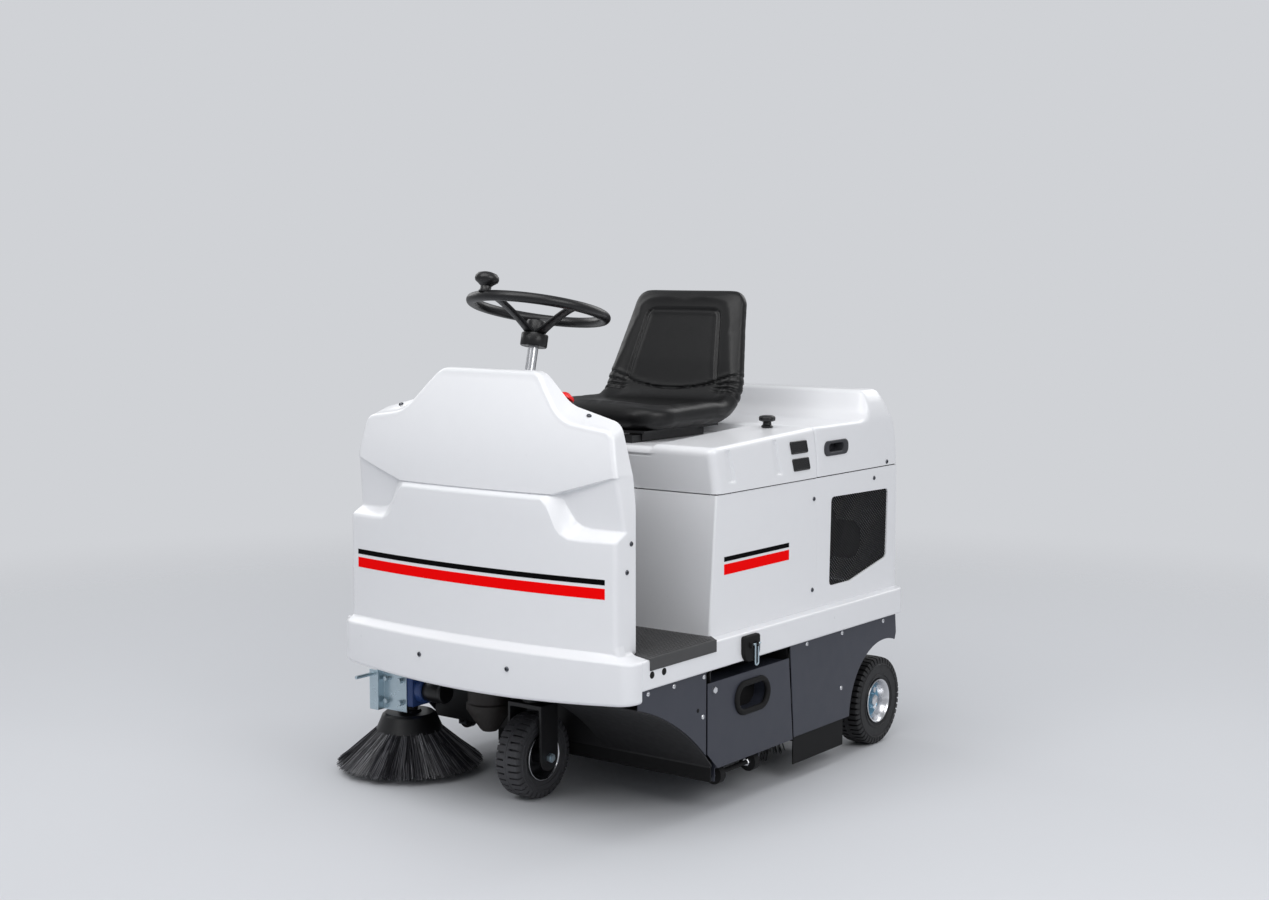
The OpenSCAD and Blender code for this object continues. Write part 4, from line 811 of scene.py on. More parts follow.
# The bright lips: a bead round the front rim, and a wider band inside a rear rim
FRONT_LIP = [(60, 34), (62.8, 35.2), (63.7, 36.8), (63, 38.8), (61, 39.2), (58.8, 37), (60, 34)]
REAR_LIP = [(47.8, 9.5), (50.9, 18.2), (53.4, 26.4), (56.2, 32), (58.6, 37), (61, 39.2), (63, 38.8),
            (63.7, 36.8), (62.8, 35.2), (60, 34), (57.4, 31.2), (54.8, 26), (52.3, 18), (49.3, 10),
            (47.8, 9.5)]


def hex_pattern(wide, high):
    """Six-sided nut or bolt head along +Z with a chamfered top."""
    rings = []
    for r, h in ((wide, 0), (wide, high - 1.2), (wide * 0.9, high), (0.01, high), (0.01, 0)):
        rings.append([(r * math.cos(a), r * math.sin(a), h) for a in np.radians(np.arange(0, 360, 60))])
    return Form().loft(rings, closed=True)


def inside_hubs(point):
    """The rear axle ends inside the wheel nuts."""
    x, y, z = point
    return (math.copysign(min(abs(x), 444), x), y, z)


def build_wheels():
    """Tyres, rims, their bolts and nuts, the axle and the fork."""
    front = centre("front_wheel_spin")
    # Front tyre rubber is drawn lighter than the rear's: painted light on the tread that the front lamp falls
    # on.
    lit_rubber = surface("painted_light_rubber", linear(64, 64, 67), 0.6, wear=0.1, mottle=0.12, bump=0.12)
    tyre_form(front, *FRONT_TYRE).piece(
        "front_tyre_tread", "tyre_rubber", "front_wheel", "front_tyre", smooth=30, own_finish=lit_rubber)
    rim = [(8.2, 48), (18, 48), (18, 10), *DISH]
    rim += [(r, -h) for r, h in rim[::-1]] + [rim[0]]
    # The front rim's pressing is drawn dark: painted shade inside the wheel.
    dark = surface("painted_shade_rim", linear(46, 47, 50), 0.4, metal=0.4)
    Form().turned(rim, front, (1, 0, 0), 72).piece(
        "front_rim_pressing", "zinc_steel", "front_wheel", "front_rim", own_finish=dark)
    lips = Form()
    for sign in (1, -1):
        lips.turned(FRONT_LIP, front, (sign, 0, 0), 72)
    lips.piece("front_rim_lips", "bright_steel", "front_wheel")
    bluish = surface("blue_zinc", linear(112, 160, 186), 0.22, metal=0.85, mottle=0.06)
    # Rear tyre rubber is drawn darker than the front's: painted shade, as the rear tyres stand in shadow.
    painted_lighting = surface("painted_shade_rubber", linear(27, 27, 29), 0.55, wear=0.1, mottle=0.12, bump=0.12)
    rim = [(12.8, 17), (20, 17), (21.5, 15), (21.5, 8), *DISH]
    rim += [(57.5, -33), (59, -36.5), (61, -38.6), (62.8, -38.2), (63.4, -36.6), (60, -33.5), (54.5, -26),
            (52, -18), (49, 0), (27, 1), (22, -8), (22, -40.5), (12.8, -40.5), rim[0]]
    nuts = []
    for side, sign in (("left", 1), ("right", -1)):
        at, wheel, out = centre(f"rear_{side}_spin"), f"rear_wheel_{side}", (sign, 0, 0)
        tyre_form(at, *REAR_TYRE).piece(
            f"rear_tyre_{side}_tread", "tyre_rubber", wheel, f"rear_tyre_{side}", smooth=30, own_finish=painted_lighting)
        Form().turned(rim, at, out, 80).piece(
            f"rear_rim_{side}_pressing", "zinc_steel", wheel, f"rear_rim_{side}", own_finish=bluish)
        Form().turned(REAR_LIP, at, out, 80).piece(f"rear_rim_{side}_lip", "bright_steel", wheel)
        heads = [station(at + (sign * 3.2, 34 * math.cos(a), 34 * math.sin(a)), out)
                 for a in np.radians((45, 135, 225, 315))]
        set_at(f"rear_rim_{side}_bolts", hex_pattern(9, 10), heads, "bright_steel", wheel)
        nuts.append(station(at + (sign * 17.4, 0, 0), out))
    set_at("wheel_nuts", hex_pattern(17, 11), nuts, "bright_steel", "chassis")
    soften("rear_axle", 2, "cast_metal", shape=inside_hubs)
    soften("steering_fork", 2, "frame_paint")


# Small fittings


def screw_pattern():
    """Domed cap screw along +Z with a sunk socket."""
    profile = [(0.01, 0.4), (2.6, 0.4), (2.8, 3.3), (4.6, 2.8), (6.1, 1.4), (6.7, -2)]
    return Form().turned(profile, (0, 0, 0), steps=14)


def both(points):
    """Points on the left side and their partners on the right."""
    return [(side * x, y, z) for x, y, z in points for side in (1, -1)]


def outward(points, up=0.0, size=1.0):
    """Stations that face away from the machine's middle plane."""
    return [station(p, (math.copysign(1, p[0]), 0, up), (size, size, size)) for p in points]


def set_screws():
    """Cap screws of the panels, and rubber plugs in the sills and the skirt."""
    screw = screw_pattern()
    skirts = outward(both([(SKIRT_X, y, z) for y, z in ((183, 369), (370, 369), (603, 367), (368, 213))]))
    skirts += outward([(SKIRT_X, y, z) for y, z in ((-544, 367), (-437, 366), (-308, 366), (-312, 265))])
    set_at("skirt_screws", screw, skirts, "bright_steel", "chassis")
    # The panel screws' steel is darkened: painted shade.
    dark = surface("painted_shade_screws", linear(92, 94, 100), 0.28, metal=1.0)
    bumper_x = 146
    bumper_y = BUMPER_Y + float(bow(bumper_x)) - 0.5
    panels = [station((x, bumper_y, 407), (0, -1, 0)) for x in (-bumper_x, bumper_x)]
    panels += outward(both([(FAIRING_X, -558, 729), (FAIRING_X, -575, 662), (BOX_X, 245, 757),
                            (BOX_X, 240, 507), (BOX_X, 575, 784)]))
    panels += outward(both([(312, -556, 1030)]), up=4.0)
    set_at("body_screws", screw, panels, "zinc_steel", "chassis", "fasteners", own_finish=dark)
    set_at("cover_screws", screw, outward(both([(BOX_X, 648, 825)])), "zinc_steel", "cover", own_finish=dark)
    small = outward(both([(456, -164, 843), (456, 64, 838)]), size=0.7)
    set_at("hood_screws", screw, small, "zinc_steel", "hood", own_finish=dark)
    plug = Form().turned([(0.01, 2.4), (5, 2.2), (7.6, 1.6), (9, 0.4), (9, -3)], (0, 0, 0), steps=24)
    spare = outward(both([(SILL_X, -547, 416), (SILL_X, -498, 416)]))
    set_at("sill_plugs", plug, spare, "black_rubber", "chassis")
    set_at("skirt_plug", plug, outward([(SKIRT_X, -334, 285)], size=0.6), "black_rubber", "chassis")


def fit_doors():
    """Rubber-trimmed grips, catch bolts and roller caps of the hopper drawers."""
    inner, outer = (oval_path(wide, high) + (-88, 279) for wide, high in ((148, 75), (152, 79)))
    front, floor = SKIRT_X + 2, SKIRT_X - 41
    for side, sign in (("left", 1), ("right", -1)):
        grip = Form().hoop(side_plate(inner, SKIRT_X + 1, sign), 8, (1, 0, 0))
        grip.loft([side_plate(outer, x, sign) for x in (floor + 1, floor - 2)])
        grip.loft([side_plate(inner, front, sign), side_plate(inner, floor, sign),
                   side_plate(outer, floor, sign), side_plate(outer, front, sign)], closed=True)
        grip.piece(f"door_grip_{side}", "black_rubber", f"drawer_{side}")
        catch = [station((sign * SKIRT_X, -268, 326), (sign, 0, 0))]
        set_at(f"door_catch_{side}", hex_pattern(9, 9), catch, "bright_steel", f"drawer_{side}")
        low, high = box_of(f"hopper_rollers_{side}")
        x, _, z = (low + high) / 2
        caps = [station((x, y - 11.5, z), (0, -1, 0)) for y in (low[1] + 30, high[1] - 30)]
        set_at(f"roller_caps_{side}", hex_pattern(11, 8), caps, "bright_steel", f"rollers_{side}")


def fit_latch_bases():
    """Rubber shields of the latches, each with two lugs."""
    y, z = -125.0, 408.0
    low, high = box_of("latch_bases")
    form = Form()
    for sign, end in ((1, high[0]), (-1, low[0])):
        rings = []
        for grow, out in ((0, -1), (0, 9), (-0.8, 10.6), (-2.6, 11.6), (-5, 12)):
            corners = [(y + a * (37 + grow), z + 4 + b * (34 + grow), r)
                       for (a, b), r in zip(SQUARE, (7, 33, 33, 7))]
            rings.append(side_plate(rounded_loop(corners, 8), SILL_X + out, sign))
        form.loft(rings)
        x0, x1 = sorted((sign * (SILL_X + 10), end))
        for lug in (y - 14, y + 14):
            form.block((x0, lug - 3, z + 7), (x1, lug + 3, z + 21), 1)
    form.piece("latch_shields", "black_rubber", "chassis", "latch_bases")


def lay_mat():
    """Floor mat with square studs."""
    pitch, mat_z = 12.1, 458
    stud = Form().loft([[(a * half, b * half, h) for a, b in SQUARE]
                        for half, h in ((4.6, -0.5), (4.4, 0.8), (3.8, 1.2))])
    spots = []
    for x in np.arange(-484, 485, pitch):
        for y in np.arange(-552, -258, pitch):
            on_step = abs(x) > 446 and y < -283
            on_floor = abs(x) < 440 and -525 < y < -262
            if on_step or on_floor:
                spots.append(station((x, y, mat_z), (0, 0, 1)))
    matting = surface("mat_rubber", linear(70, 70, 71), 0.7, mottle=0.1, bump=0.1)
    set_at("mat_studs", stud, spots, "black_rubber", "chassis", own_finish=matting)
    soften("floor_mat", 2, "black_rubber", own_finish=matting)


def build_fittings():
    """The small fittings, in turn."""
    set_screws()
    fit_doors()
    fit_latch_bases()
    lay_mat()


def inside_outline(outline, points):
    """Which points lie inside a closed outline."""
    x, y = points[:, 0], points[:, 1]
    hit = np.zeros(len(points), bool)
    for (x0, y0), (x1, y1) in zip(outline, np.roll(outline, -1, 0)):
        if y0 != y1:
            hit ^= ((y0 > y) != (y1 > y)) & (x < (x1 - x0) * (y - y0) / (y1 - y0) + x0)
    return hit


def build_grilles(look):
    """Diagonal wire mesh in the rear body's side openings."""
    outline = np.array([(336, 761), (324, 499), (448, 499), (658, 542), (665, 753)], float)
    middle = outline.mean(0)
    pitch = look.mesh_pitch / MM
    wire = Form().loft([[(1.5 * math.cos(a), 1.5 * math.sin(a), h) for a in np.radians((45, 135, 225, 315))]
                        for h in (-0.5, 0.5)])
    along = np.arange(-320, 320, 1.0)
    stations = []
    # two layers of wires, one just behind the other
    for lean, behind in ((45, 6.7), (-38, 5.3)):
        way = np.array((math.cos(math.radians(lean)), math.sin(math.radians(lean))))
        side = np.array((-way[1], way[0]))
        reach = (outline - middle) @ side
        for offset in np.arange(reach.min() + 2, reach.max(), pitch):
            line = middle + side * offset
            inside = along[inside_outline(outline, line + way * along[:, None])]
            if len(inside) < 6:
                continue
            spot = line + way * (inside[0] + inside[-1]) / 2
            length = inside[-1] - inside[0]
            for sign in (1, -1):
                stations.append(station((sign * (BOX_X - behind), *spot), (0, *way), (1, 1, length)))
    set_at("grille_mesh", wire, stations, "frame_paint", "chassis", "grilles")


# Sweeping gear


def bristle_pattern(radius):
    """One filament along +Z, thinner at its tip."""
    rings = []
    for t in (0, 0.4, 0.75, 1):
        r = radius * (1 - 0.45 * t)
        rings.append([(r * math.cos(a), r * math.sin(a), FILAMENT * t) for a in round_angles(3)])
    return Form().loft(rings)


def build_side_brush(look):
    """Two layers of tufted filaments that spread from the hub to the floor, some of them paler as painted
    highlight on lit strands.
    """
    rng = random.Random(7)
    axis = centre("side_brush_spin")
    tufts = 30
    plain_strands, lit_strands = [], []
    for i in range(look.side_bristles):
        a = (i % tufts) / tufts * 2 * math.pi + rng.gauss(0, 0.085)
        layer = rng.choice((0, 1))
        root = (70 if layer else 84) + rng.uniform(-6, 6)
        reach = rng.uniform(188, 203) - (14 if layer else 0)
        top = 119 - rng.uniform(0, 6)
        low = rng.uniform(17, 26) + (5 if layer else 0)
        b = a + rng.gauss(0, 0.04)
        start = np.array((root * math.cos(a), root * math.sin(a), top))
        end = np.array((reach * math.cos(b), reach * math.sin(b), low))
        length = np.linalg.norm(end - start)
        root_at = start + (axis[0], axis[1], 0)
        kind = lit_strands if i % 7 < 2 else plain_strands
        kind.append(station(root_at, (end - start) / length, (1, 1, length / FILAMENT)))
    # Pale filaments: painted highlight on the strands that catch the light.
    painted_lighting = surface("painted_highlight_bristles", linear(122, 122, 126), 0.4, mottle=0.25, mottle_scale=60)
    hair = bristle_pattern(1.35)
    set_at("side_brush_filaments", hair, plain_strands, "bristle", "side_brush", "side_brush_bristles", smooth=60)
    set_at("side_brush_worn_filaments", hair, lit_strands, "bristle", "side_brush", smooth=60, own_finish=painted_lighting)


def build_brush_gear():
    """Blue gear case with a black motor on the side brush's arm."""
    low, high = box_of("side_brush_motor")
    axis = centre("side_brush_spin")
    base, case_x = high[2] - 88, axis[0] + 52
    flange = (case_x, axis[1], base + 46)
    case = Form().block((low[0], low[1], base), (case_x, high[1], high[2]), 5)
    case.turned([(0.01, -2), (35, -2), (37, 0), (37, 20), (34, 23), (0.01, 23)], flange, (1, 0, 0))
    case.piece("gear_case", "gear_blue", "side_arm", "side_brush_motor")
    end = high[0] - case_x
    motor = Form().turned([(0.01, 20), (29, 20), (30.5, 22), (30.5, end - 14), (29, end - 12), (31, end - 11),
                           (31, end - 3), (28, end), (0.01, end)], flange, (1, 0, 0))
    motor.piece("gear_motor", "black_plastic", "side_arm")
    shaft = Form().turned([(0.01, -62), (9, -62), (10, -61), (10, -16), (23, -16), (24, -15), (24, 1),
                           (0.01, 1)], (axis[0], axis[1], base))
    shaft.piece("gear_shaft", "cast_metal", "side_arm")
    soften("side_brush_arm", 1.2, "zinc_steel")
    soften("side_brush_bracket", 1.5, "cast_metal")


def build_main_brush(look):
    """Filaments of the main brush in eight rows that curl from its middle to its ends."""
    rng = random.Random(11)
    low, high = box_of("main_brush_bristles")
    axis = centre("main_brush_spin")
    reach = (high[2] - low[2]) / 2
    root, rows = reach * 0.42, 8
    stations = []
    for _ in range(look.main_bristles):
        x = rng.uniform(low[0] + 2, high[0] - 2)
        row = rng.randrange(rows)
        a = row * 2 * math.pi / rows + 1.2 * abs(x - axis[0]) / 320 + rng.gauss(0, 0.05)
        way = np.array((0, math.cos(a), math.sin(a)))
        length = reach - root - rng.uniform(0, 3)
        start = (x, axis[1] + root * way[1], axis[2] + root * way[2])
        stations.append(station(start, way, (1, 1, length / FILAMENT)))
    set_at("main_brush_filaments", bristle_pattern(1.3), stations, "bristle", "main_brush",
           "main_brush_bristles", smooth=60)


# Seat hood and rear cover


def groove_depth(y, z, top):
    """Depth of the two sawtooth grooves in the hood's sides."""
    deepest, depth = 7, 0.0
    for low, high in (((-178, -138), (-196, -166)), ((46, 85), (30, 55))):
        start, end = (np.interp(z, (838, 926), pair) for pair in zip(low, high))
        t = (y - start) / (end - start)
        ramp = np.clip(t, 0, 1) * np.clip((1 - t) / 0.1, 0, 1)
        depth = max(depth, deepest * ramp * ease((z - 836) / 9) * ease((top - 6 - z) / 12))
    return depth


def arc_y(z, reach):
    """The hood's rear edge and the cover's front edge follow an arc about the hood's hinge."""
    return HOOD_HINGE[0] + math.sqrt(reach ** 2 - (z - HOOD_HINGE[1]) ** 2)


def hood_y(share, z):
    """Where a share of the hood's length lies at a height, between its leaning front and its rear arc."""
    front, back = np.interp(z, (815, 925), (-224, -240)), arc_y(z, HOOD_REACH)
    return front + (back - front) * share


def hood_form():
    """Skin of the seat hood: rounded edges, side grooves and the flat recess below the seat."""
    corner_r, front_r, rear_r, brow, lean_in = 24, 22, 6, 14, 3
    front_z, recess_z, recess_x, recess_rear = 932, 926, 272, 478
    # close stations and rises where the surface turns sharply
    stations = np.unique(np.concatenate([
        corner_r - corner_r * np.cos(np.radians(np.linspace(0, 90, 8))), np.arange(34, 110, 2.4),
        np.arange(116, 250, 12), np.arange(254, 328, 2.4), np.arange(334, 456, 12), np.arange(458, 480, 3),
        (486, 492, 494, 495.6, 496.8, 497.6, HOOD_LONG)]))
    rises = np.unique(np.concatenate([np.linspace(0, 0.16, 4), np.linspace(0.17, 0.34, 10),
                                      np.linspace(0.4, 1, 12)]))
    half = [440, 430, 400, 360, 320, 290, *np.arange(276, 253, -2.5), 240, 200, 150, 100, 50]
    rows = []
    for s in stations:
        rear = round_off(HOOD_LONG - s, rear_r)
        wide = HOOD_X - round_off(s, corner_r) - rear
        crown = front_z + (DECK_Z - front_z) * s / HOOD_LONG
        top = crown - (round_off(s, front_r) + rear)
        flat_x = wide - lean_in - brow
        row = []
        for rise in rises:
            z = HOOD_LOW + rise * (top - brow - HOOD_LOW)
            y = hood_y(s / HOOD_LONG, z)
            row.append((wide - lean_in * rise - groove_depth(y, z, top), y, z))
        over = [(flat_x + brow * math.cos(t), top - brow + brow * math.sin(t))
                for t in np.radians(np.linspace(0, 90, 7))[1:]]
        for x in half:
            x = x * flat_x / (HOOD_X - lean_in - brow)
            dip = ease((recess_x - x) / 14) * ease((recess_rear - s) / 16)
            over.append((x, top - (crown - recess_z) * dip))
        row += [(x, hood_y(s / HOOD_LONG, z), z) for x, z in over]
        rows.append(np.array(row))
    return mirrored_skin(rows)


def cover_form():
    """Skin of the rear cover: flat deck, swept ridge with rounded ends, and sloping back."""
    profile = rounded_path([(COVER_FRONT, DECK_Z, 0), (527, DECK_Z, 76), (553, RIDGE_Z, 14),
                            (650, RIDGE_Z, 36), (690, 925, 240), (705, 836, 10),
                            (COVER_REAR, HOOD_LOW, 0)], arc=12, straight=7)
    front = np.array([(COVER_FRONT + a, DECK_Z) for a in (0, 0.4, 1.2, 2.4, 4, 6)])
    front_r, rear_r, side_r, reach = 6, 9, 10, 40
    rows = []
    for y0, crown in [*front, *profile[1:]]:
        edge = round_off(y0 - COVER_FRONT, front_r)
        base = min(DECK_Z, crown)
        wide = BOX_X - edge - round_off(COVER_REAR - y0, rear_r)
        brow = min(side_r, (base - HOOD_LOW) * 0.5) * (1 - 0.9 * (crown - base) / (RIDGE_Z - DECK_Z))
        points = [(wide, HOOD_LOW + f * (base - brow - HOOD_LOW)) for f in np.linspace(0, 1, 9)]
        for rise in np.linspace(0, 1, 21)[1:]:
            x = wide - reach * (1 - (1 - rise ** 1.5) ** 0.6)
            points.append((x, base - round_off(wide - x, brow) + (crown - base) * rise))
        points += [(x * (wide - reach) / (BOX_X - reach), crown) for x in (380, 320, 260, 200, 130, 60)]
        lean = ease((345 - y0) / 80)
        rows.append(np.array([(x, y0 - lean * (COVER_FRONT - arc_y(min(z, DECK_Z), COVER_REACH)),
                               z - (edge if z > HOOD_LOW + 60 else 0)) for x, z in points]))
    return mirrored_skin(rows)


def knuckles(hinge, wall, places):
    """Knuckles about a hinge of (y, z) at places along it, with leaves that reach the wall beside them."""
    barrel = [(4.2, -12.7), (6.2, -12.7), (7, -11.9), (7, 11.9), (6.2, 12.7), (4.2, 12.7), (4.2, -12.7)]
    form = Form()
    low, high = sorted((hinge[0], wall))
    for x in places:
        form.turned(barrel, (x, *hinge), (1, 0, 0), 24)
        form.block((x - 12.7, low, hinge[1] + 4), (x + 12.7, high, hinge[1] + 24), 2)
    return form


def handle_form():
    """Recessed handles in the cover's sides: a rolled collar and a cup with a floor."""
    # rings of (width, height, distance from the middle, corner radius, lift)
    cup = [(114, 30, 456, 14, 0), (128, 42, 459, 18, 0), (128, 42, 461.5, 18, 0), (126, 40, 463, 17, 0),
           (122, 36, 463.6, 16, 0), (84, 28, 463, 12, 1), (79, 24, 461.5, 10, 1), (77, 22, 458, 9, 1),
           (77, 22, 429, 9, 1), (84, 28, 427, 9, 1), (84, 28, 456, 9, 1)]
    floor = [(84, 28, 427, 9, 1), (84, 28, 430, 9, 1)]
    form = Form()
    for side in (-1, 1):
        for rings, closed in ((cup, True), (floor, False)):
            loops = []
            for wide, high, x, r, up in rings:
                corners = [(GRIP_AT[0] + a * wide / 2, GRIP_AT[1] + up + b * high / 2, r) for a, b in SQUARE]
                loops.append(side_plate(rounded_loop(corners, 7), x, side))
            form.loft(loops, closed)
    return form


def fit_vents():
    """Louvred vents in the hood's sides."""
    frames, slats = Form(), []
    for side in (-1, 1):
        for y, z in ((163, 905), (175, 858)):
            rings = []
            for grow, x in ((0, 458), (0, 463.2), (-0.8, 464), (-3, 464), (-3.6, 463.4), (-3.6, 461.6)):
                corners = [(y + a * (41 + grow) - b * 5, z + b * (17 + grow), 4) for a, b in SQUARE]
                rings.append(side_plate(rounded_loop(corners, 4), x, side))
            frames.loft(rings)
            slats += [station((side * 462.2, y - k * 1.55, z + k * 5.3), (0, 1, 0)) for k in range(-2, 3)]
    frames.piece("vent_frames", "black_plastic", "hood", "hood_vents", smooth=30)
    slat = Form().loft([[(-1.7 * a, 1.6 * b, h) for a, b in SQUARE] for h in (-37, 37)])
    set_at("vent_slats", slat, slats, "frame_paint", "hood")


def knob_form():
    """Screw-down knob with a fluted head."""
    x, y, _ = centre("knob_turn")
    form = Form().turned([(0, -60), (8, -60), (8, -4), (16, -1), (16.5, 2), (12, 6), (11, 14)],
                         (x, y, DECK_Z))
    angles = round_angles(72)
    flutes = 0.07 * (0.5 + 0.5 * np.cos(angles * 6)) ** 4
    rings = []
    for r, h in ((11, 14), (17, 15), (21.5, 17), (22.5, 20), (22.5, 26), (20.5, 29), (14, 31), (0.01, 31.5)):
        wave = r * (1 - flutes) if 16 < h < 30 else np.full(len(angles), r)
        rings.append(np.column_stack([x + wave * np.cos(angles), y + wave * np.sin(angles),
                                      np.full(len(angles), DECK_Z + h)]))
    return form.loft(rings)


def build_covers():
    """Seat hood and rear cover with their knuckles, handles, vents and knob."""
    shell(hood_form(), "hood_skin", "white_cover", "hood", "seat_hood")
    slots = Form()
    for side in (-1, 1):
        hole = rounded_loop([(GRIP_AT[0] + a * 58, GRIP_AT[1] + b * 16, 15) for a, b in SQUARE])
        slots.loft([side_plate(hole, x, side) for x in (BOX_X - 30, BOX_X + 20)])
    shell(cover_form(), "cover_skin", "white_cover", "cover", "rear_cover", cutter=slots)
    knuckles(HOOD_HINGE, -222, (-150, 150)).piece("hood_knuckles", "white_cover", "hood")
    knuckles(COVER_HINGE, 703, (-276, 276)).piece("cover_knuckles", "white_cover", "cover")
    handle_form().piece("cover_handle_cups", "dash_plastic", "cover", "cover_handles")
    fit_vents()
    knob_form().piece("knob_grip", "black_plastic", "knob", "hood_knob")


# Seat


def seat_lines():
    """Middle line of the padding from its front to the back's top, with its half width and thickness."""
    path = rounded_path([(-178, 991, 0), (214, 992, 92), (326, 1323, 0)], arc=24, straight=24)
    line = resample(path, SEAT_STEPS)
    length = np.concatenate([[0], np.cumsum(np.linalg.norm(np.diff(line, axis=0), axis=1))])
    total = length[-1]
    share = length / total
    wide = np.interp(share, (0, 0.12, 0.42, 0.62, 1), (226, 231, 237, 236, 184))
    thick = np.interp(share, (0.45, 0.62, 1), (72, 58, 48))
    for i, front in enumerate(length):
        top = total - front
        wide[i] -= round_off(front, 92) + round_off(top, 40)
        for gap, rolled in ((front, 30), (top, 22)):
            thick[i] *= math.sqrt(max(1e-3, 1 - max(0, 1 - gap / rolled) ** 2))
    return line, length, wide, thick


def seat_dish(share, inside):
    """How deep the sitting face lies below its rolled edges, at a share of the line and inside its edge."""
    deep = np.interp(share, (0, 0.05, 0.16, 0.42, 0.55, 0.7, 0.93, 0.97), (0, 0, 17, 20, 15, 8, 7, 0))
    return deep * ease((inside - 14) / 62)


def seat_form():
    """Padded seat as one swept form: rolled edges round a dished cushion and back."""
    line, length, wide, thick = seat_lines()
    angles = round_angles(96)
    across, upward = squared(np.cos(angles), 0.42), squared(np.sin(angles), 0.55)
    rings = []
    for (y, z), s, half, deep, normal in zip(line, length, wide, thick, path_normals(line)):
        x = half * across
        rise = deep / 2 * upward
        rise = np.where(upward > 0, rise - seat_dish(s / length[-1], half - abs(x)), rise)
        rings.append(np.column_stack([x, y + normal[0] * rise, z + normal[1] * rise]))
    return Form().loft(rings)


def plump(obj, cap):
    """Cloth under a little air pressure fills the padding; no point moves further than the cap."""
    scene = bpy.context.scene
    rest = np.array([v.co for v in obj.data.vertices])
    cloth = obj.modifiers.new("cloth", "CLOTH")
    cloth.settings.quality = 6
    cloth.settings.use_pressure = True
    cloth.settings.uniform_pressure_force = 4.0
    cloth.settings.effector_weights.gravity = 0.0
    cloth.settings.tension_stiffness = 25
    cloth.settings.compression_stiffness = 25
    cloth.settings.bending_stiffness = 2.0
    cloth.point_cache.frame_start = 1
    cloth.point_cache.frame_end = 20
    for number in range(1, 21):
        scene.frame_set(number)
    graph = bpy.context.evaluated_depsgraph_get()
    filled = np.array([v.co for v in obj.evaluated_get(graph).data.vertices])
    scene.frame_set(1)
    obj.modifiers.remove(cloth)
    moved = filled - rest
    far = np.linalg.norm(moved, axis=1)[:, None]
    moved *= np.minimum(1, cap * MM / np.maximum(far, 1e-9))
    obj.data.vertices.foreach_set("co", (rest + moved).astype("f").ravel())
    obj.data.update()


def swell(distance, height, width):
    """Height of a smooth swell at a distance from its middle."""
    return height * np.exp(-(distance / width) ** 2)


def sew(mesh):
    """Presses the panel's welt and the folds beside the back into the finished padding."""
    line, length, wide, _ = seat_lines()
    total = length[-1]
    points = np.array([v.co for v in mesh.vertices]) / MM - SHIFT
    normals = np.array([v.normal for v in mesh.vertices])
    near = np.argmin(((points[:, None, 1:] - line[None]) ** 2).sum(2), axis=1)
    s = length[near]
    inside = wide[near] - abs(points[:, 0])
    face = ((points[:, 1:] - line[near]) * path_normals(line)[near]).sum(1) > -4
    move = np.zeros(len(points))
    # welt round the back's panel, its lower edge sagging into the fold of the cushion
    side = inside - np.interp(s, (0.6 * total, 0.92 * total), (82, 74))
    top = 0.906 * total - s
    low = s - (0.575 * total + 34 * np.minimum(1, points[:, 0] / 165) ** 2)
    r = 22.0
    rounded = r - np.hypot(r - np.minimum(side, r), r - np.minimum(top, r))
    rim = np.where((side < r) & (top < r), rounded, np.minimum(side, top))
    rim = np.minimum(rim, low)
    move -= swell(rim, 5.5, 3.6) * face
    move += swell(rim - 9, 1.8, 7) * face
    # folds where the rolled edge turns up into the back
    for k in range(4):
        fold = s - (0.56 * total + 17 * k + (0.16 - 0.14 * k) * (inside - 50))
        reach = ease((98 - inside) / 34) * (0.35 + 0.65 * ease(inside / 22))
        move -= swell(fold, 4.4 - 0.4 * abs(k - 1), 3.4) * reach
        move += swell(fold - 8.5, 1.4, 5) * reach
    points = points + normals * move[:, None]
    mesh.vertices.foreach_set("co", place(points).astype("f").ravel())
    mesh.update()


def build_seat():
    """Seat blank turned to even cloth, plumped, smoothed and sewn."""
    blank = working_copy(seat_form(), "seat_blank", weld=False)
    remesh = blank.modifiers.new("voxels", "REMESH")
    remesh.mode = "VOXEL"
    remesh.voxel_size = 6 * MM
    pad = linked("seat_pad_cloth", plain_mesh(blank, "seat_pad_cloth"))
    plump(pad, 5)
    smoother = pad.modifiers.new("smoother", "SMOOTH")
    smoother.factor = 0.5
    smoother.iterations = 4
    finer = pad.modifiers.new("finer", "SUBSURF")
    finer.levels = finer.render_levels = 1
    done = plain_mesh(pad, "seat_cushion")
    sew(done)
    seat = settle("seat_cushion", done, "vinyl", "seat", "seat_pad", smooth=180, recalc=False)


# Panels


def lean_front(point):
    """The seat box's front corners are tight, and its front wall leans back as it rises; its hinge stays."""
    x, y, z = point
    corner_x, corner_y, tighter = 440, -220, 14
    if abs(x) > corner_x - 1 and y < corner_y + 1:
        off = np.array((abs(x) - corner_x, y - corner_y))
        far = np.linalg.norm(off)
        off *= (far - tighter) / far
        x, y = math.copysign(corner_x + tighter + off[0], x), corner_y - tighter + off[1]
    if -243 < y < -200:
        y += np.interp(z, (454, 812), (-16, 14))
    return (x, y, z)


def tight_corner(point):
    """The rear body's upright corners are drawn tight."""
    x, y, z = point
    corner_x, corner_y, tighter, share = 430, 680, 24, 0.2
    if abs(x) > corner_x and y > corner_y:
        x = math.copysign(corner_x + tighter + (abs(x) - corner_x) * share, x)
        y = corner_y + tighter + (y - corner_y) * share
    return (x, y, z)


def below_fairing(point):
    """The dash panel's front edge stays below the fairing's falling shoulders."""
    x, y, z = point
    if y < -545 and z > 860:
        x, z = x * 0.97, z - 16
    return (x, y, z)


def broad_head(point):
    """The emergency button's head grows about its axis; its stem stays."""
    middle = sum(box_of("emergency_button")) / 2
    axis = np.array(JOINTS["button_press"]["axis"])
    off = point - middle
    along = axis * (off @ axis)
    across = off - along
    return middle + along + across * (1.2 if np.linalg.norm(across) > 12 else 1.0)


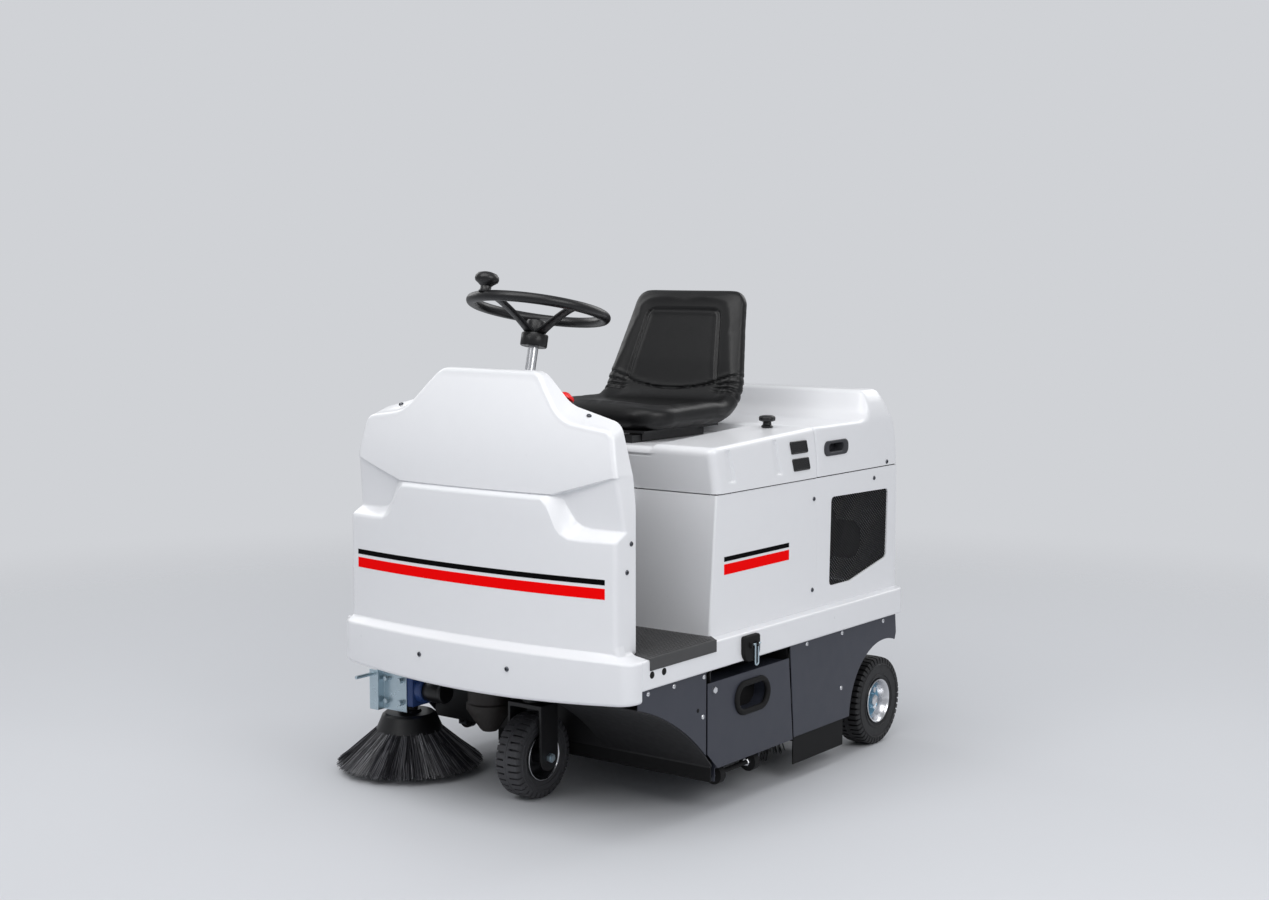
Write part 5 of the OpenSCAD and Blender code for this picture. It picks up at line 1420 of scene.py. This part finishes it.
def build_panels():
    """Painted panels, drawers, dash and button with rounded edges, and the seals below the covers."""
    soften("side_sills", 6, "white_paint")
    soften("seat_box", 8, "white_cover", shape=lean_front)
    soften("rear_body", 4, "white_cover", shape=tight_corner)
    seals = Form()
    for side in (-1, 1):
        for inset, y0, y1 in ((3.5, 268, 700), (7, -214, 258)):
            x0, x1 = sorted((side * (BOX_X - 25), side * (BOX_X - inset)))
            seals.block((x0, y0, 811), (x1, y1, 814.7))
    seals.piece("cover_seals", "black_rubber", "chassis")
    for node in ("front_skirt", "rear_skirts", "hopper_left", "hopper_right"):
        soften(node, 3, "grey_paint")
    soften("dash_panel", 3, "dash_plastic", shape=below_fairing)
    soften("emergency_button", 1.5, "red_plastic", shape=broad_head, segments=2)


# Every CAD node keeps its own finish


def node_slot(name):
    """The record's material slot of a CAD node."""
    return next(part["material_slot"] for part in frame["record"]["subparts"] if part["node"] == name)


def paint_nodes():
    """Every node in its slot's finish."""
    for name, obj in frame["nodes"].items():
        obj.data.materials.clear()
        obj.data.materials.append(finish(node_slot(name)))


# Stage


PALE = linear(208, 210, 214)


def floor_finish():
    """Pale floor that runs out into the background far from the machine."""
    mat = surface("pale_floor", PALE, 0.6)
    nodes, link = mat.node_tree.nodes, mat.node_tree.links.new
    where = nodes.new("ShaderNodeTexCoord").outputs["Object"]
    far = nodes.new("ShaderNodeVectorMath")
    far.operation = "LENGTH"
    link(where, far.inputs[0])
    span = nodes.new("ShaderNodeMapRange")
    span.interpolation_type = "SMOOTHSTEP"
    span.inputs["From Min"].default_value = 1.6
    span.inputs["From Max"].default_value = 5.0
    link(far.outputs["Value"], span.inputs["Value"])
    clear, blend = nodes.new("ShaderNodeBsdfTransparent"), nodes.new("ShaderNodeMixShader")
    link(span.outputs["Result"], blend.inputs["Fac"])
    link(nodes["Principled BSDF"].outputs["BSDF"], blend.inputs[1])
    link(clear.outputs["BSDF"], blend.inputs[2])
    link(blend.outputs["Shader"], nodes["Material Output"].inputs["Surface"])
    return mat


def studio_world():
    """Soft even light, with a pale background for the camera and for reflections."""
    world = bpy.data.worlds.new("studio")
    world.use_nodes = True
    nodes, link = world.node_tree.nodes, world.node_tree.links.new
    light = nodes["Background"]
    light.inputs["Color"].default_value = (*linear(226, 228, 232), 1)
    light.inputs["Strength"].default_value = 0.5
    shown = nodes.new("ShaderNodeBackground")
    shown.inputs["Color"].default_value = (*PALE, 1)
    shown.inputs["Strength"].default_value = 1.0
    path, most = nodes.new("ShaderNodeLightPath"), nodes.new("ShaderNodeMath")
    blend = nodes.new("ShaderNodeMixShader")
    most.operation = "MAXIMUM"
    link(path.outputs["Is Camera Ray"], most.inputs[0])
    link(path.outputs["Is Transmission Ray"], most.inputs[1])
    link(most.outputs["Value"], blend.inputs["Fac"])
    link(light.outputs["Background"], blend.inputs[1])
    link(shown.outputs["Background"], blend.inputs[2])
    link(blend.outputs["Shader"], nodes["World Output"].inputs["Surface"])
    return world


# Lamps: name, place, size and power in watts
LAMPS = [
    ("over", (0.5, -2.2, 4.3), 3.6, 88),
    ("side", (4.0, -1.2, 3.0), 2.4, 66),
    ("front", (-0.8, -4.0, 3.8), 2.0, 32),
    ("rear", (0.8, 3.6, 3.2), 2.4, 45),
    ("far", (-3.6, 0.4, 2.8), 2.4, 30),
]


def build_stage():
    """Floor, world, camera and lamps."""
    scene = bpy.context.scene
    scene.view_settings.view_transform = "Standard"
    eye = bpy.data.cameras.new("camera")
    eye.sensor_width = 36.0
    eye.lens = CAMERA_LENS
    eye.clip_end = 100
    camera = linked("camera", eye)
    camera.location = CAMERA_AT
    camera.rotation_euler = (math.pi / 2 - CAMERA_PITCH, 0, CAMERA_AZIMUTH)
    scene.camera = camera
    mesh = bpy.data.meshes.new("floor")
    mesh.from_pydata([(-12, -12, 0), (12, -12, 0), (12, 12, 0), (-12, 12, 0)], [], [(0, 1, 2, 3)])
    mesh.materials.append(floor_finish())
    floor = linked("floor", mesh)
    scene.world = studio_world()
    aim = Vector((0.07, 0, 0.6))
    for name, at, size, power in LAMPS:
        lamp = bpy.data.lights.new(name, "AREA")
        lamp.energy = power
        lamp.size = size
        obj = linked(name, lamp)
        obj.location = at
        obj.rotation_euler = (aim - Vector(at)).to_track_quat("-Z", "Y").to_euler()


# Add-on


def paint_property(name, description, default):
    """Colour that a user can change."""
    return bpy.props.FloatVectorProperty(
        name=name, description=description, subtype="COLOR", size=3, min=0, max=1, default=default)


class SweeperLook(bpy.types.PropertyGroup):
    """Sizes and colours that a user would change."""

    body_colour: paint_property("Body colour", "Gloss paint of the covers", linear(234, 235, 238))
    panel_colour: paint_property("Panel colour", "Paint of the lower side panels", linear(51, 54, 65))
    accent_colour: paint_property("Accent colour", "Wide stripe and emergency button", linear(250, 5, 7))
    gear_colour: paint_property(
        "Gear motor colour", "Paint of the side brush gear motor", linear(44, 72, 128))
    mesh_pitch: bpy.props.FloatProperty(
        name="Mesh pitch", description="Distance between the grilles' wires", unit="LENGTH",
        min=0.004, max=0.02, default=0.0078)
    side_bristles: bpy.props.IntProperty(
        name="Side brush bristles", description="Filaments in the side brush",
        min=200, max=8000, default=2600)
    main_bristles: bpy.props.IntProperty(
        name="Main brush bristles", description="Filaments in the main brush",
        min=200, max=9000, default=3600)


class SWEEPER_OT_nodes(bpy.types.Operator):
    """Give every node of the part its finish"""

    bl_idname = "sweeper.nodes"
    bl_label = "Paint nodes"
    bl_options = {"REGISTER", "UNDO"}

    def execute(self, context):
        paint_nodes()
        return {"FINISHED"}


class SWEEPER_OT_panels(bpy.types.Operator):
    """Round the edges of the panels and covers"""

    bl_idname = "sweeper.panels"
    bl_label = "Panels"
    bl_options = {"REGISTER", "UNDO"}

    def execute(self, context):
        build_panels()
        return {"FINISHED"}


class SWEEPER_OT_fairing(bpy.types.Operator):
    """Build the front fairing, bumper and stripes"""

    bl_idname = "sweeper.fairing"
    bl_label = "Fairing"
    bl_options = {"REGISTER", "UNDO"}

    def execute(self, context):
        build_fairing(context.scene.sweeper_look)
        return {"FINISHED"}


class SWEEPER_OT_steering(bpy.types.Operator):
    """Build the steering wheel and its spinner knob"""

    bl_idname = "sweeper.steering"
    bl_label = "Steering"
    bl_options = {"REGISTER", "UNDO"}

    def execute(self, context):
        build_steering()
        return {"FINISHED"}


class SWEEPER_OT_covers(bpy.types.Operator):
    """Build the seat hood, the rear cover and their fittings"""

    bl_idname = "sweeper.covers"
    bl_label = "Covers"
    bl_options = {"REGISTER", "UNDO"}

    def execute(self, context):
        build_covers()
        return {"FINISHED"}


class SWEEPER_OT_seat(bpy.types.Operator):
    """Build the padded seat"""

    bl_idname = "sweeper.seat"
    bl_label = "Seat"
    bl_options = {"REGISTER", "UNDO"}

    def execute(self, context):
        build_seat()
        return {"FINISHED"}


class SWEEPER_OT_wheels(bpy.types.Operator):
    """Build the tyres and rims"""

    bl_idname = "sweeper.wheels"
    bl_label = "Wheels"
    bl_options = {"REGISTER", "UNDO"}

    def execute(self, context):
        build_wheels()
        return {"FINISHED"}


class SWEEPER_OT_fittings(bpy.types.Operator):
    """Set the screws, plugs, grips, latch bases and mat studs"""

    bl_idname = "sweeper.fittings"
    bl_label = "Fittings"
    bl_options = {"REGISTER", "UNDO"}

    def execute(self, context):
        build_fittings()
        return {"FINISHED"}


class SWEEPER_OT_grilles(bpy.types.Operator):
    """Weave the side grilles' wire mesh"""

    bl_idname = "sweeper.grilles"
    bl_label = "Grilles"
    bl_options = {"REGISTER", "UNDO"}

    def execute(self, context):
        build_grilles(context.scene.sweeper_look)
        return {"FINISHED"}


class SWEEPER_OT_side_brush(bpy.types.Operator):
    """Set the side brush's bristles"""

    bl_idname = "sweeper.side_brush"
    bl_label = "Side brush"
    bl_options = {"REGISTER", "UNDO"}

    def execute(self, context):
        build_side_brush(context.scene.sweeper_look)
        return {"FINISHED"}


class SWEEPER_OT_brush_gear(bpy.types.Operator):
    """Build the side brush's gear case and motor"""

    bl_idname = "sweeper.brush_gear"
    bl_label = "Side brush gear"
    bl_options = {"REGISTER", "UNDO"}

    def execute(self, context):
        build_brush_gear()
        return {"FINISHED"}


class SWEEPER_OT_main_brush(bpy.types.Operator):
    """Set the main brush's bristles"""

    bl_idname = "sweeper.main_brush"
    bl_label = "Main brush"
    bl_options = {"REGISTER", "UNDO"}

    def execute(self, context):
        build_main_brush(context.scene.sweeper_look)
        return {"FINISHED"}


class SWEEPER_OT_stage(bpy.types.Operator):
    """Build the floor, lamps and camera"""

    bl_idname = "sweeper.stage"
    bl_label = "Stage"
    bl_options = {"REGISTER", "UNDO"}

    def execute(self, context):
        build_stage()
        return {"FINISHED"}


OPERATORS = [
    SWEEPER_OT_nodes, SWEEPER_OT_panels, SWEEPER_OT_fairing, SWEEPER_OT_steering,
    SWEEPER_OT_covers, SWEEPER_OT_seat, SWEEPER_OT_wheels, SWEEPER_OT_fittings, SWEEPER_OT_grilles,
    SWEEPER_OT_side_brush, SWEEPER_OT_brush_gear, SWEEPER_OT_main_brush, SWEEPER_OT_stage,
]


class SWEEPER_PT_panel(bpy.types.Panel):
    """Sizes, colours and building steps of the sweeper."""

    bl_label = "Sweeper"
    bl_idname = "SWEEPER_PT_panel"
    bl_space_type = "VIEW_3D"
    bl_region_type = "UI"
    bl_category = "Sweeper"

    def draw(self, context):
        look = context.scene.sweeper_look
        for name in SweeperLook.__annotations__:
            self.layout.prop(look, name)
        for step in OPERATORS:
            self.layout.operator(step.bl_idname)


CLASSES = [SweeperLook, *OPERATORS, SWEEPER_PT_panel]


def register():
    for cls in CLASSES:
        bpy.utils.register_class(cls)
    bpy.types.Scene.sweeper_look = bpy.props.PointerProperty(type=SweeperLook)


def unregister():
    del bpy.types.Scene.sweeper_look
    for cls in reversed(CLASSES):
        bpy.utils.unregister_class(cls)


def main():
    """Builds the whole sweeper."""
    register()
    build = bpy.ops.sweeper
    build.nodes()
    build.panels()
    build.fairing()
    build.steering()
    build.covers()
    build.seat()
    build.wheels()
    build.fittings()
    build.grilles()
    build.side_brush()
    build.brush_gear()
    build.main_brush()
    build.stage()


if __name__ == "__main__":
    main()
